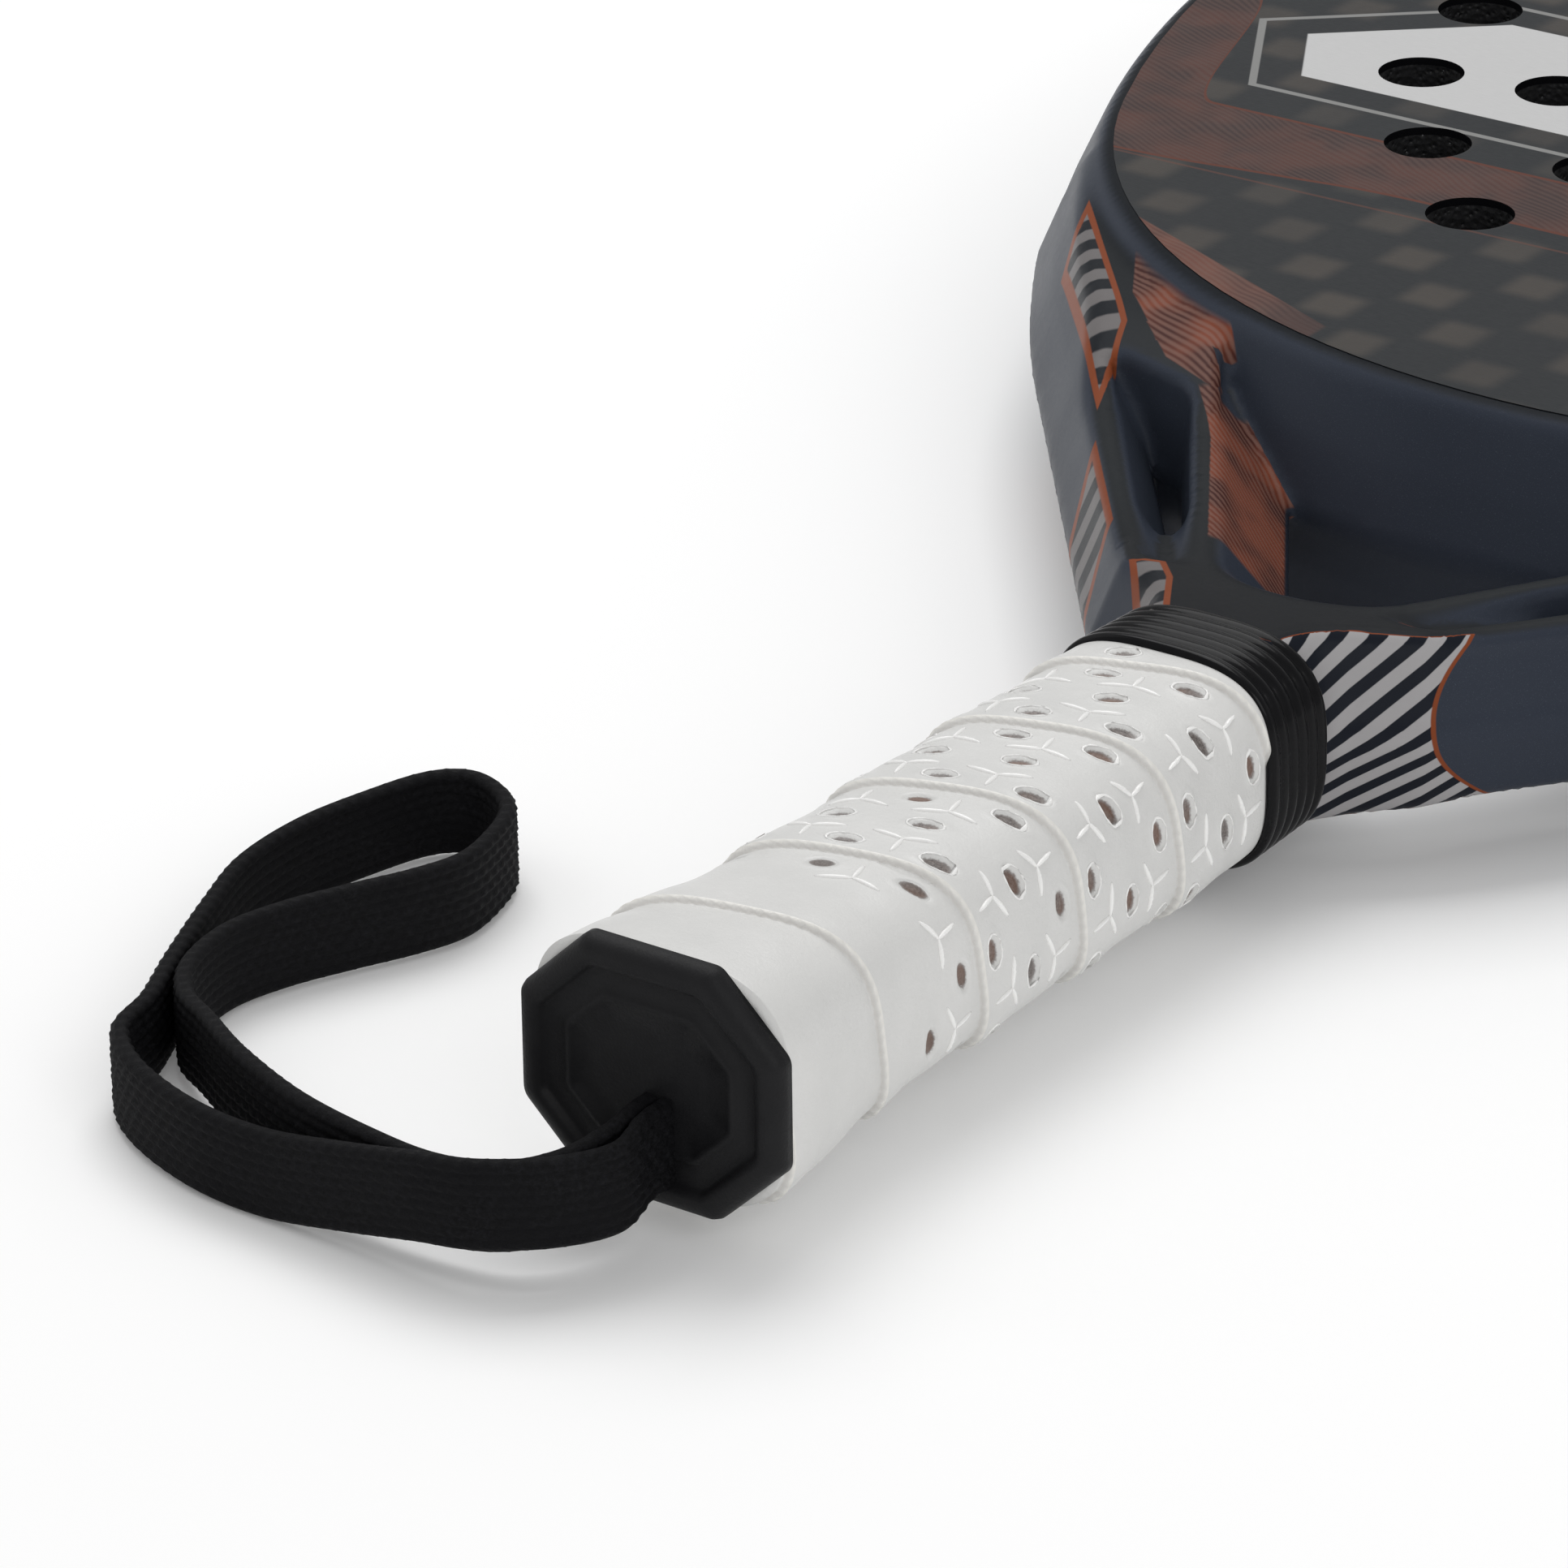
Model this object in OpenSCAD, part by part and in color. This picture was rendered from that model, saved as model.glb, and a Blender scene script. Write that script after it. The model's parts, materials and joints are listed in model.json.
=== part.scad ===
// Padel racket lying flat: tangent-arc head rim, drafted three-window throat,
// foam core between two drilled skins, taped grip, rubber collar, butt cap, strap.
// Local axes: Y from the butt to the head, Z through the thickness.

/* [Head] */
// Overall length, butt face to head top
total_len = 455; // [452:0.5:458]
// Overall width of the head
head_w = 260; // [256:0.5:264]
// Thickness of the head over the skins
thick = 38; // [37:0.1:38.5]
// Handle datum to the lowest point of the head rim
heel_y = 170.6; // [169.5:0.1:171.5]
// Radius of the rim at the heel
heel_r = 118; // [116:0.5:120]
// Radius of the rim at the upper corners
corner_r = 100; // [98:0.5:102]
// Width of the rim tube, measured inwards
rim_w = 24; // [22:0.5:25]
// Thickness of each skin
skin_t = 1.1; // [0.8:0.1:1.4]
// Diameter of the drilled holes
hole_d = 12; // [9:0.5:13]
// Play round the skins in their rebate
skin_gap = 0.15; // [0.1:0.05:0.3]

/* [Throat] */
// Half thickness of the struts
yoke_hz = 11; // [10.5:0.1:11.5]
// Half thickness where the struts meet the rim
yoke_rise = 16.3; // [15.5:0.1:16.6]
// Radius of the rounded near end of the middle window
window_r = 16.8; // [16:0.1:17.2]
// Inward lean of the middle window walls at mid-plane
window_draft = 9; // [8:0.1:9.5]

/* [Handle] */
// Width of the shaft
shaft_w = 27; // [26:0.1:27.4]
// Height of the shaft
shaft_h = 22; // [21:0.1:22.2]
// Wall of the shaft
shaft_wall = 2; // [1.6:0.1:2.4]
// Handle datum to the end of the grip tape
tape_end = 102; // [100:0.5:105]
// Length of the rubber collar
collar_len = 13; // [12.5:0.1:13.5]
// Advance of the grip tape per turn
wrap_pitch = 20.5; // [20:0.5:26]
// Height of the lapped edge of the grip tape
lap_h = 0.9; // [0.5:0.1:1.1]
// Width of the butt cap
cap_w = 36; // [35:0.1:38]
// Height of the butt cap
cap_h = 31; // [30:0.1:33]
// Thickness of the butt cap flange
cap_t = 3; // [2.6:0.1:3.4]

/* [Strap] */
// Width of the woven strap
strap_w = 11; // [9:0.5:12]
// Thickness of the woven strap
strap_t = 2.2; // [1.8:0.1:2.4]

/* [Hidden] */
$fn = 96;
hw = head_w / 2;
hz = thick / 2;

// butt face and head top, measured from the handle datum
butt_y = -2.2;
top_y = butt_y + total_len;
grip_y = butt_y + cap_t;

// head outline: heel, side, corner and top arcs, each tangent to the next
heel_a = 66;
heel_c = [0, heel_y + heel_r];
side_r = (hw - heel_r * sin(heel_a)) / (1 - sin(heel_a));
side_c = [hw - side_r, heel_c.y + (side_r - heel_r) * cos(heel_a)];
corner_c = [hw - corner_r, side_c.y];
corner_a = 90 - 2 * atan((top_y - side_c.y - corner_r) / (hw - corner_r));
top_r = corner_r + (hw - corner_r) / cos(corner_a);
top_c = [0, corner_c.y - (top_r - corner_r) * sin(corner_a)];

// inward step of the outer wall at each height, mid-plane to land
wall = [[0, 1], [3.2, 9], [6.8, 16.8], [8.2, hz]];
land = 9.5;
core_hz = hz - skin_t;
function wall_at(z) = lookup(abs(z), [for (w = wall) [w[1], w[0]]]);

// ---- helpers -------------------------------------------------------------

module place() translate([0, -butt_y - total_len / 2, hz]) children();

function arc(c, r, a0, a1, n) =
  [for (i = [0 : n]) c + r * [cos(a0 + (a1 - a0) * i / n), sin(a0 + (a1 - a0) * i / n)]];

function flip(p) = [for (i = [len(p) - 1 : -1 : 0]) [-p[i].x, p[i].y]];

// head outline moved inwards, right half from heel to top
function head_half(d) = concat(
  arc(heel_c, heel_r - d, -90, heel_a - 90, 22),
  arc(side_c, side_r - d, heel_a - 87, 0, 8),
  arc(corner_c, corner_r - d, 3, corner_a, 17),
  arc(top_c, top_r - d, corner_a + 2, 90, 14)
);

function head_loop(d) = let (h = head_half(d), n = len(h))
  concat(h, [for (i = [n - 2 : -1 : 1]) [-h[i].x, h[i].y]]);

module head_plate(d, z0, z1)
  translate([0, 0, z0])
    linear_extrude(z1 - z0)
      polygon(head_loop(d));

// solid between closed rings of equal point count
function ring_faces(n, m) = [
  for (j = [0 : m - 2]) for (i = [0 : n - 1])
    [j * n + i, (j + 1) * n + i, (j + 1) * n + (i + 1) % n, j * n + (i + 1) % n]
];

module loft(rings) {
  n = len(rings[0]);
  m = len(rings);
  polyhedron(
    points = [for (r = rings) for (p = r) p],
    faces = concat(
      [[for (i = [0 : n - 1]) i]],
      ring_faces(n, m),
      [[for (i = [n - 1 : -1 : 0]) (m - 1) * n + i]]
    ),
    convexity = 6
  );
}

function lift(p, z) = [for (q = p) [q.x, q.y, z]];

// line moved sideways to the left of its direction
function side_line(p, q, d) = let (u = (q - p) / norm(q - p)) [p + d * [-u.y, u.x], q + d * [-u.y, u.x]];
function meet(a, b) = let (
  r = a[1] - a[0],
  s = b[1] - b[0],
  t = ((b[0].x - a[0].x) * s.y - (b[0].y - a[0].y) * s.x) / (r.x * s.y - r.y * s.x)
) a[0] + t * r;

// closed corner list with every corner rounded to its own radius
function rounded(p, r, k) = let (n = len(p)) [
  for (i = [0 : n - 1]) let (
    u = (p[(i + n - 1) % n] - p[i]) / norm(p[(i + n - 1) % n] - p[i]),
    v = (p[(i + 1) % n] - p[i]) / norm(p[(i + 1) % n] - p[i]),
    half = acos(u * v) / 2,
    c = p[i] + (u + v) / norm(u + v) * r[i] / sin(half),
    b0 = c - p[i] - u * (c - p[i]) * u,
    b1 = c - p[i] - v * (c - p[i]) * v,
    a0 = atan2(-b0.y, -b0.x),
    turn = 180 - 2 * half
  ) for (j = [0 : k]) c + r[i] * [cos(a0 + turn * j / k), sin(a0 + turn * j / k)]
];

// rounded-rectangle section across the handle at station y
sec_n = 48;
function squircle(a, b, p, t) = [
  a * sign(cos(t)) * pow(abs(cos(t)), 2 / p),
  b * sign(sin(t)) * pow(abs(sin(t)), 2 / p)
];
function section(a, b, y, p = 3.2) = [
  for (i = [0 : sec_n - 1]) let (q = squircle(a, b, p, -360 * (i + 0.5) / sec_n)) [q.x, y, q.y]
];

function bevelled(w, h, cx, cy) = [
  [w / 2, -h / 2 + cy], [w / 2, h / 2 - cy], [w / 2 - cx, h / 2], [-w / 2 + cx, h / 2],
  [-w / 2, h / 2 - cy], [-w / 2, -h / 2 + cy], [-w / 2 + cx, -h / 2], [w / 2 - cx, -h / 2]
];

module along(y0, y1)
  translate([0, y0, 0])
    rotate([-90, 0, 0])
      linear_extrude(y1 - y0)
        children();

// ---- head ----------------------------------------------------------------

up_wall = [for (w = wall) w];
down_wall = [for (i = [3 : -1 : 0]) [wall[i][0], -wall[i][1]]];
rim_section = concat(
  down_wall, up_wall,
  [[land, hz], [land, core_hz], [rim_w, core_hz], [rim_w, -core_hz], [land, -core_hz], [land, -hz]]
);

// closed tube: the section carried once round the head outline
rim_loops = [for (p = rim_section) head_loop(p[0])];
rim_n = len(rim_section);
rim_m = len(rim_loops[0]);

module head_rim()
  color([0.09, 0.1, 0.11])
    place()
      polyhedron(
        points = [for (k = [0 : rim_m - 1]) for (i = [0 : rim_n - 1]) [rim_loops[i][k].x, rim_loops[i][k].y, rim_section[i][1]]],
        faces = [
          for (k = [0 : rim_m - 1]) for (i = [0 : rim_n - 1])
            [k * rim_n + i, k * rim_n + (i + 1) % rim_n, (k + 1) % rim_m * rim_n + (i + 1) % rim_n, (k + 1) % rim_m * rim_n + i]
        ],
        convexity = 8
      );

// rows of holes: height on the centreline, then distances from it
hole_rows = [
  [236, [12.5, 36.8]],
  [258.6, [0, 31, 55.4]],
  [285, [25.5, 51, 70.6]],
  [313, [0, 26, 51.5, 77]],
  [339, [13, 39, 64.5, 86]],
  [364, [0, 26, 52, 78]],
  [388, [13, 39, 64]],
  [411, [0, 26, 48]]
];
row_droop = 0.0017;

module holes()
  for (row = hole_rows)
    for (x = row[1])
      for (s = x > 0 ? [-1, 1] : [1])
        translate([s * x, row[0] - row_droop * x * x, -thick])
          cylinder(d = hole_d, h = 2 * thick);

module foam_core()
  color([0.8, 0.8, 0.76])
    place()
      difference() {
        head_plate(rim_w, -core_hz, core_hz);
        holes();
      }

module face_top()
  color([0.25, 0.24, 0.24])
    place()
      difference() {
        head_plate(land + skin_gap, core_hz, hz);
        holes();
      }

module face_bottom()
  color([0.25, 0.24, 0.24])
    place()
      difference() {
        head_plate(land + skin_gap, -hz, -core_hz);
        holes();
      }

// ---- throat --------------------------------------------------------------

neck_y = 112;
arm_slope = 0.79;
arm_start = [23.9, 122.8];
arm_end = [77.9, arm_start.y + (77.9 - arm_start.x) / arm_slope];
blend_r = 232;
blend_c = arm_end + blend_r * [-cos(atan(arm_slope)), sin(atan(arm_slope))];
yoke_top = 222;

// outer edge of the right arm from the neck to the rim
function arm_edge() = concat(
  [[13.9, neck_y], [14.4, 117], [17, 118.5], [20.5, 120.5], arm_start, arm_end],
  [for (a = [-atan(arm_slope) + 1.8 : 1.8 : -28.5]) blend_c + blend_r * [cos(a), sin(a)]]
);

// open edge moved inwards, corner by corner
function shift_edge(p, d) = let (n = len(p)) [
  for (i = [0 : n - 1])
    i == 0 ? p[0] - [d, 0] :
    i == n - 1 ? side_line(p[n - 2], p[n - 1], d)[1] :
    meet(side_line(p[i - 1], p[i], d), side_line(p[i], p[i + 1], d))
];

function yoke_ring(z) = let (e = shift_edge(arm_edge(), wall_at(z))) lift(concat(e, flip(e)), z);

// side profile of the yoke: level struts, then a smooth rise to the rim
rise_y = [165, 190];
function rise(s) = yoke_hz + (yoke_rise - yoke_hz) * (1 - cos(180 * s)) / 2;
yoke_side = concat(
  [[neck_y, yoke_hz]],
  [for (s = [0 : 0.125 : 1]) [rise_y[0] + s * (rise_y[1] - rise_y[0]), rise(s)]],
  [[yoke_top, yoke_rise]]
);

// middle window, leaning inwards by d all round
mid_c = [0, 145.5];
mid_a = -32.2;
function mid_window(d) = let (
  r = window_r - d,
  foot = mid_c + r * [cos(mid_a), sin(mid_a)],
  u = [-sin(mid_a), cos(mid_a)],
  reach = (183.5 - 0.62 * d - foot.y) / u.y,
  tip = foot + reach * u,
  bend_r = 3,
  side = concat(
    [foot],
    [for (a = [0 : 22.5 : 90]) tip - 5 * u + bend_r * [cos(mid_a + a), sin(mid_a + a)] - bend_r * [cos(mid_a), sin(mid_a)]]
  )
) concat(arc(mid_c, r, -180 - mid_a + 8, mid_a - 8, 12), side, [[0, 186]], flip(side));

// side window: corner lists at the strut face and at mid-plane
side_face = [[20.3, 129.2], [57.6, 178.6], [43, 175.2], [14.1, 130.2]];
side_waist = [[28.9, 149.4], [48.6, 174.6], [42.4, 172.2], [27.2, 148.9]];

module side_window()
  loft([
    lift(rounded(side_face, [1.8, 2.2, 1.6, 1.6], 4), -thick),
    lift(rounded(side_face, [1.8, 2.2, 1.6, 1.6], 4), -yoke_hz),
    lift(rounded(side_waist, [0.5, 1.2, 1, 0.5], 4), 0),
    lift(rounded(side_face, [1.8, 2.2, 1.6, 1.6], 4), yoke_hz),
    lift(rounded(side_face, [1.8, 2.2, 1.6, 1.6], 4), thick)
  ]);

module throat_yoke()
  color([0.17, 0.19, 0.21])
    place()
      difference() {
        intersection() {
          loft([for (z = [-16.8, -9, -1, 1, 9, 16.8]) yoke_ring(z)]);
          rotate([90, 0, 90])
            translate([0, 0, -head_w])
              linear_extrude(2 * head_w)
                polygon(concat(yoke_side, [for (i = [len(yoke_side) - 1 : -1 : 0]) [yoke_side[i].x, -yoke_side[i].y]]));
        }
        translate([heel_c.x, heel_c.y, 0])
          rotate_extrude()
            polygon(concat([[0, -hz]], [for (w = down_wall) [heel_r - w[0], w[1]]], [for (w = up_wall) [heel_r - w[0], w[1]]], [[0, hz]]));
        loft([
          lift(mid_window(0), -thick),
          lift(mid_window(0), -yoke_hz),
          lift(mid_window(window_draft), 0),
          lift(mid_window(0), yoke_hz),
          lift(mid_window(0), thick)
        ]);
        side_window();
        mirror([1, 0, 0]) side_window();
      }

// ---- handle --------------------------------------------------------------

plug_len = 20;
bore_w = shaft_w - 2 * shaft_wall;
bore_h = shaft_h - 2 * shaft_wall;
bore_gap = 0.1;
shaft_y = grip_y + 1;

module handle_shaft()
  color([0.1, 0.1, 0.1])
    place()
      along(shaft_y, neck_y)
        difference() {
          polygon(bevelled(shaft_w, shaft_h, 6, 5.5));
          polygon(bevelled(bore_w, bore_h, 5.2, 4.6));
        }

module handle_foam()
  color([0.75, 0.75, 0.7])
    place()
      along(grip_y + plug_len, neck_y)
        polygon(bevelled(bore_w, bore_h, 5.2, 4.6));

// stations of the cushion: half width and half height, flared at the butt
function flare(y) = y > 32 ? 0 : (1 + cos(180 * (y - grip_y) / (32 - grip_y))) / 2;
base_a = 14.3;
base_b = 12;
base_steps = [grip_y, 6, 11, 16, 20, 24, 28, 32, neck_y];
function base_ring(y) = section(base_a + 1.7 * flare(y), base_b + 1.5 * flare(y), y);

module base_body() loft([for (y = base_steps) base_ring(y)]);

module base_grip()
  color([0.35, 0.33, 0.31])
    place()
      difference() {
        base_body();
        along(grip_y - 1, neck_y + 1)
          polygon(bevelled(shaft_w, shaft_h, 6, 5.5));
      }

// lapped winding: rows run along the helix, each turn stepping up and thinning away
wrap_rows = [[0, 0], [0.05, 1], [0.4, 0.6], [0.75, 0.25]];
wraps = ceil(tape_end / wrap_pitch) + 3;
row_count = len(wrap_rows) * wraps + 1;
tape_a = base_a + 0.8;
tape_b = base_b + 0.8;
function wrap_point(i, j) = let (
  r = wrap_rows[j % 4],
  y = wrap_pitch * (floor(j / 4) + r[0] + i / sec_n - 2),
  f = flare(max(y, grip_y)),
  q = squircle(tape_a + 2.1 * f + lap_h * r[1], tape_b + 1.9 * f + lap_h * r[1], 3.2, -360 * (i + 0.5) / sec_n)
) [q.x, y, q.y];
function wrap_index(i, j) = i < sec_n ? j * sec_n + i : (j + 4) * sec_n + i - sec_n;

module winding()
  polyhedron(
    points = concat(
      [for (j = [0 : row_count - 1]) for (i = [0 : sec_n - 1]) wrap_point(i, j)],
      [[0, -3 * wrap_pitch, 0], [0, wrap_pitch * wraps, 0]]
    ),
    faces = concat(
      [for (j = [0 : row_count - 6]) for (i = [0 : sec_n - 1])
        [wrap_index(i, j), wrap_index(i, j + 1), wrap_index(i + 1, j + 1), wrap_index(i + 1, j)]],
      [for (i = [0 : sec_n - 1]) [wrap_index(i, 0), wrap_index(i + 1, 0), row_count * sec_n]],
      [for (j = [0 : 3]) [wrap_index(0, j + 1), wrap_index(0, j), row_count * sec_n]],
      [for (i = [0 : sec_n - 1])
        [wrap_index(i + 1, row_count - 5), wrap_index(i, row_count - 5), row_count * sec_n + 1]],
      [for (j = [row_count - 5 : row_count - 2])
        [wrap_index(0, j), wrap_index(0, j + 1), row_count * sec_n + 1]]
    ),
    convexity = 6
  );

module grip_tape()
  color([0.9, 0.9, 0.89])
    place()
      difference() {
        intersection() {
          winding();
          translate([-cap_w, grip_y, -cap_w])
            cube([2 * cap_w, tape_end - grip_y, 2 * cap_w]);
        }
        base_body();
      }

module finishing_tape()
  color([0.07, 0.07, 0.07])
    place()
      difference() {
        loft([section(15.3, 13, tape_end), section(15.3, 13, neck_y)]);
        base_body();
      }

// rubber ring: six rounded ribs outside, narrowing onto the neck inside
ribs = 6;
collar_y1 = tape_end + collar_len;
rib_pitch = collar_len / ribs;
function collar_ring(k) = let (
  y = tape_end + rib_pitch * k / 4,
  s = (y - tape_end) / collar_len,
  bulge = [-0.45, 0.1, 0.3, 0.1][k % 4]
) section(16.3 - 0.3 * s + bulge, 13.9 - 0.7 * s + bulge, y);

module collar()
  color([0.04, 0.04, 0.04])
    place()
      difference() {
        loft([for (k = [0 : 4 * ribs]) collar_ring(k)]);
        loft([
          section(15.35, 13.05, tape_end - 1),
          section(15.35, 13.05, neck_y),
          section(14.6, 11.6, collar_y1 + 0.01)
        ]);
      }

// upright slot in the cap for both strands of the strap
slot = [5.6, 12.4];
slot_at = [1, -7.4];
cap_recess = 1.1;
cap_rim = 2.3;

module slot_shape()
  translate([slot_at.x, -slot_at.y]) {
    square([slot.x, slot.y - slot.x], center = true);
    for (s = [-1, 1])
      translate([0, s * (slot.y - slot.x) / 2])
        circle(d = slot.x);
  }

module cap_flange() {
  loft([
    [for (p = bevelled(cap_w - 2.4, cap_h - 2.4, 8.6, 8.2)) [p.x, butt_y, -p.y]],
    [for (p = bevelled(cap_w, cap_h, 9.2, 8.8)) [p.x, butt_y + 1.2, -p.y]],
    [for (p = bevelled(cap_w, cap_h, 9.2, 8.8)) [p.x, grip_y, -p.y]]
  ]);
}

module butt_cap()
  color([0.08, 0.08, 0.09])
    place()
      difference() {
        union() {
          cap_flange();
          along(grip_y, grip_y + plug_len)
            polygon(bevelled(bore_w - 2 * bore_gap, bore_h - 2 * bore_gap, 5.2, 4.6));
        }
        along(butt_y - 1, butt_y + cap_recess)
          polygon(bevelled(cap_w - 2.4 - 2 * cap_rim, cap_h - 2.4 - 2 * cap_rim, 7.6, 7.2));
        along(grip_y, grip_y + plug_len + 1)
          polygon(bevelled(bore_w - 4, bore_h - 4, 4.4, 3.8));
        along(butt_y - 1, grip_y)
          slot_shape();
      }

// centreline of the strap, out of the slot, round the loop and back
strap_z = strap_w / 2 - hz + 0.1;
strap_route = [
  [2.2, grip_y, -7.4], [2.2, -5, -7.4], [2.6, -11.1, -8.5], [-0.9, -18.4, -8.2],
  [-8, -23.1, -8.5], [-15.4, -24.1, -9.2], [-26, -23.6, -11.4], [-37.9, -23, strap_z],
  [-48.9, -22, strap_z], [-60.6, -17.6, strap_z], [-68, -11.5, strap_z], [-70.5, -3.3, strap_z],
  [-74.9, 6.6, strap_z], [-80.6, 20.7, strap_z], [-84.2, 31.4, strap_z], [-84.8, 43.1, strap_z],
  [-82.8, 53.8, strap_z], [-80.2, 61.8, strap_z], [-76.3, 65.1, strap_z], [-71.2, 64, strap_z],
  [-66.4, 59.9, strap_z], [-63.7, 52.8, strap_z], [-62.8, 46, strap_z], [-64.8, 39.4, strap_z],
  [-68.5, 31.8, strap_z], [-72.1, 23.7, strap_z], [-74, 15.2, strap_z], [-71.6, 5.6, -12.9],
  [-66.9, -1.1, -12.7], [-59.7, -5.9, -11.9], [-50, -12, -11.1], [-37, -17.8, -10.6],
  [-25.5, -19.7, -11.1], [-16, -19.9, -11.5], [-7.8, -18.3, -10.8], [-2.7, -13.8, -9.7],
  [-0.5, -8.1, -8.3], [-0.2, -4, -7.4], [-0.2, grip_y, -7.4]
];
strap_last = len(strap_route) - 1;
function route_at(i) = strap_route[max(0, min(strap_last, i))];
function smooth(a, b, c, d, t) =
  (2 * b + (c - a) * t + (2 * a - 5 * b + 4 * c - d) * t * t + (3 * b - a - 3 * c + d) * t * t * t) / 2;
strap_path = [
  for (i = [0 : 2 * strap_last]) let (k = floor(i / 2))
    smooth(route_at(k - 1), route_at(k), route_at(k + 1), route_at(k + 2), (i % 2) / 2)
];
strap_n = len(strap_path);
function heading(i) =
  i == 0 ? [0, -1] :
  i == strap_n - 1 ? [0, 1] :
  let (d = strap_path[i + 1] - strap_path[i - 1]) [d.x, d.y] / norm([d.x, d.y]);

// band on edge, its long edges eased
band = [
  [1, -0.42], [1, 0.42], [0.55, 0.5], [-0.55, 0.5],
  [-1, 0.42], [-1, -0.42], [-0.55, -0.5], [0.55, -0.5]
];

module wrist_strap()
  color([0.06, 0.06, 0.07])
    place()
      loft([
        for (i = [0 : strap_n - 1]) let (h = heading(i), c = strap_path[i]) [
          for (b = band) c + [-h.y * b.x * strap_t / 2, h.x * b.x * strap_t / 2, b.y * strap_w]
        ]
      ]);

module strap_knot()
  color([0.06, 0.06, 0.07])
    place()
      translate([slot_at.x, grip_y, -1.3])
        rotate([-90, 0, 0])
          rotate_extrude()
            polygon([[0, 0], [4.6, 0], [5.4, 1.4], [5.5, 3], [4.8, 4.6], [5.2, 6], [5, 8], [3.6, 9.2], [0, 9.2]]);

head_rim();
throat_yoke();
foam_core();
face_top();
face_bottom();
handle_shaft();
handle_foam();
base_grip();
grip_tape();
finishing_tape();
collar();
butt_cap();
wrist_strap();
strap_knot();
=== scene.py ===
"""Padel racket lying flat on a pale floor: lacquered frame, drilled carbon faces,
white perforated grip, ribbed rubber collar, moulded butt cap and woven wrist strap.
Lengths are in millimetres from the handle datum, with the mid-plane at z = 0,
until shared() turns them into the metres of the finished model."""

import json
import math

import bpy
import numpy as np
from mathutils import Matrix, Vector

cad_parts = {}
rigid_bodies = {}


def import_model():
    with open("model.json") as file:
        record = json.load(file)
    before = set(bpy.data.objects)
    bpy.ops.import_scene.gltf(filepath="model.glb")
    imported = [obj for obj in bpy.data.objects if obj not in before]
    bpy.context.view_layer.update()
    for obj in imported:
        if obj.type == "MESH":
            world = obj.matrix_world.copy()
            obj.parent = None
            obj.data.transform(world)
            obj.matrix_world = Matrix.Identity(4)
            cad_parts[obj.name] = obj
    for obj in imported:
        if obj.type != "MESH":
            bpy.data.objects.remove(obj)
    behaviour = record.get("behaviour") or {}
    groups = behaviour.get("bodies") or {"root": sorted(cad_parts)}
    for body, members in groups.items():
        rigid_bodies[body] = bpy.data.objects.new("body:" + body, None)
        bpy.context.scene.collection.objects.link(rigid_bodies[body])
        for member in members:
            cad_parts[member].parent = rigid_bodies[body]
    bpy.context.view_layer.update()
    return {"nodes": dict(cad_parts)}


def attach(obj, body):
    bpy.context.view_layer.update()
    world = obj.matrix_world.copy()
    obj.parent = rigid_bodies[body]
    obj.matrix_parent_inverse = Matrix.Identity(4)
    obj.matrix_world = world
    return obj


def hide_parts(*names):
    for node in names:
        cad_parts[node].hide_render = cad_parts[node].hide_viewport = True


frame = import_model()

TOTAL_LEN = 455.0
THICK = 38.0
BUTT_Y = -2.2


def shared(points):
    """Millimetres from the handle datum to metres in the model's frame."""
    return (np.asarray(points, float) + (0, -BUTT_Y - TOTAL_LEN / 2, THICK / 2)) * 0.001


# ---------------------------------------------------------------- camera

CAMERA_TURN = (35.7894, 25.0719, -0.7519)  # azimuth, elevation and roll in degrees
CAMERA_AIM, CAMERA_AWAY = (-32.357, 69.859, 0.0), 986.789
SENSOR_WIDTH, LENS = 36.0, 190.19


def put(name, data):
    """A new object in the scene holding the data."""
    obj = bpy.data.objects.new(name, data)
    bpy.context.scene.collection.objects.link(obj)
    return obj


def aim_camera():
    az, el, roll = np.radians(CAMERA_TURN)
    back = np.array((math.sin(az) * math.cos(el), -math.cos(az) * math.cos(el), math.sin(el)))
    right = np.array((math.cos(az), math.sin(az), 0.0))
    up = np.cross(back, right)
    side = math.cos(roll) * right + math.sin(roll) * up
    top = -math.sin(roll) * right + math.cos(roll) * up
    eye = shared(np.array(CAMERA_AIM) + back * CAMERA_AWAY)
    data = bpy.data.cameras.new("camera")
    data.sensor_fit = "HORIZONTAL"
    data.sensor_width, data.lens = SENSOR_WIDTH, LENS
    data.clip_start, data.clip_end = 0.05, 20.0
    camera = put("camera", data)
    rows = np.stack((side, top, back), axis=1)
    camera.matrix_world = Matrix([list(rows[k]) + [eye[k]] for k in range(3)] + [[0, 0, 0, 1]])
    bpy.context.scene.camera = camera


aim_camera()


# ---------------------------------------------------------------- mesh helpers

def new_piece(name, verts, faces, materials=(), smooth=True, uv=None):
    """A mesh object at the origin; verts in millimetres from the handle datum."""
    mesh = bpy.data.meshes.new(name)
    mesh.from_pydata(shared(verts).tolist(), [], [tuple(int(i) for i in f) for f in faces])
    if uv is not None:
        layer = mesh.uv_layers.new(name="run")
        corner = np.empty(len(mesh.loops), dtype=np.int32)
        mesh.loops.foreach_get("vertex_index", corner)
        layer.data.foreach_set("uv", np.asarray(uv(corner, mesh), float).ravel())
    mesh.polygons.foreach_set("use_smooth", [smooth] * len(mesh.polygons))
    mesh.update()
    for m in materials:
        mesh.materials.append(m)
    return put(name, mesh)


def ring_at(x, y, z):
    """Points from coordinates that are spread to one shape."""
    return np.stack(np.broadcast_arrays(x, y, z), axis=-1)


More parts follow.
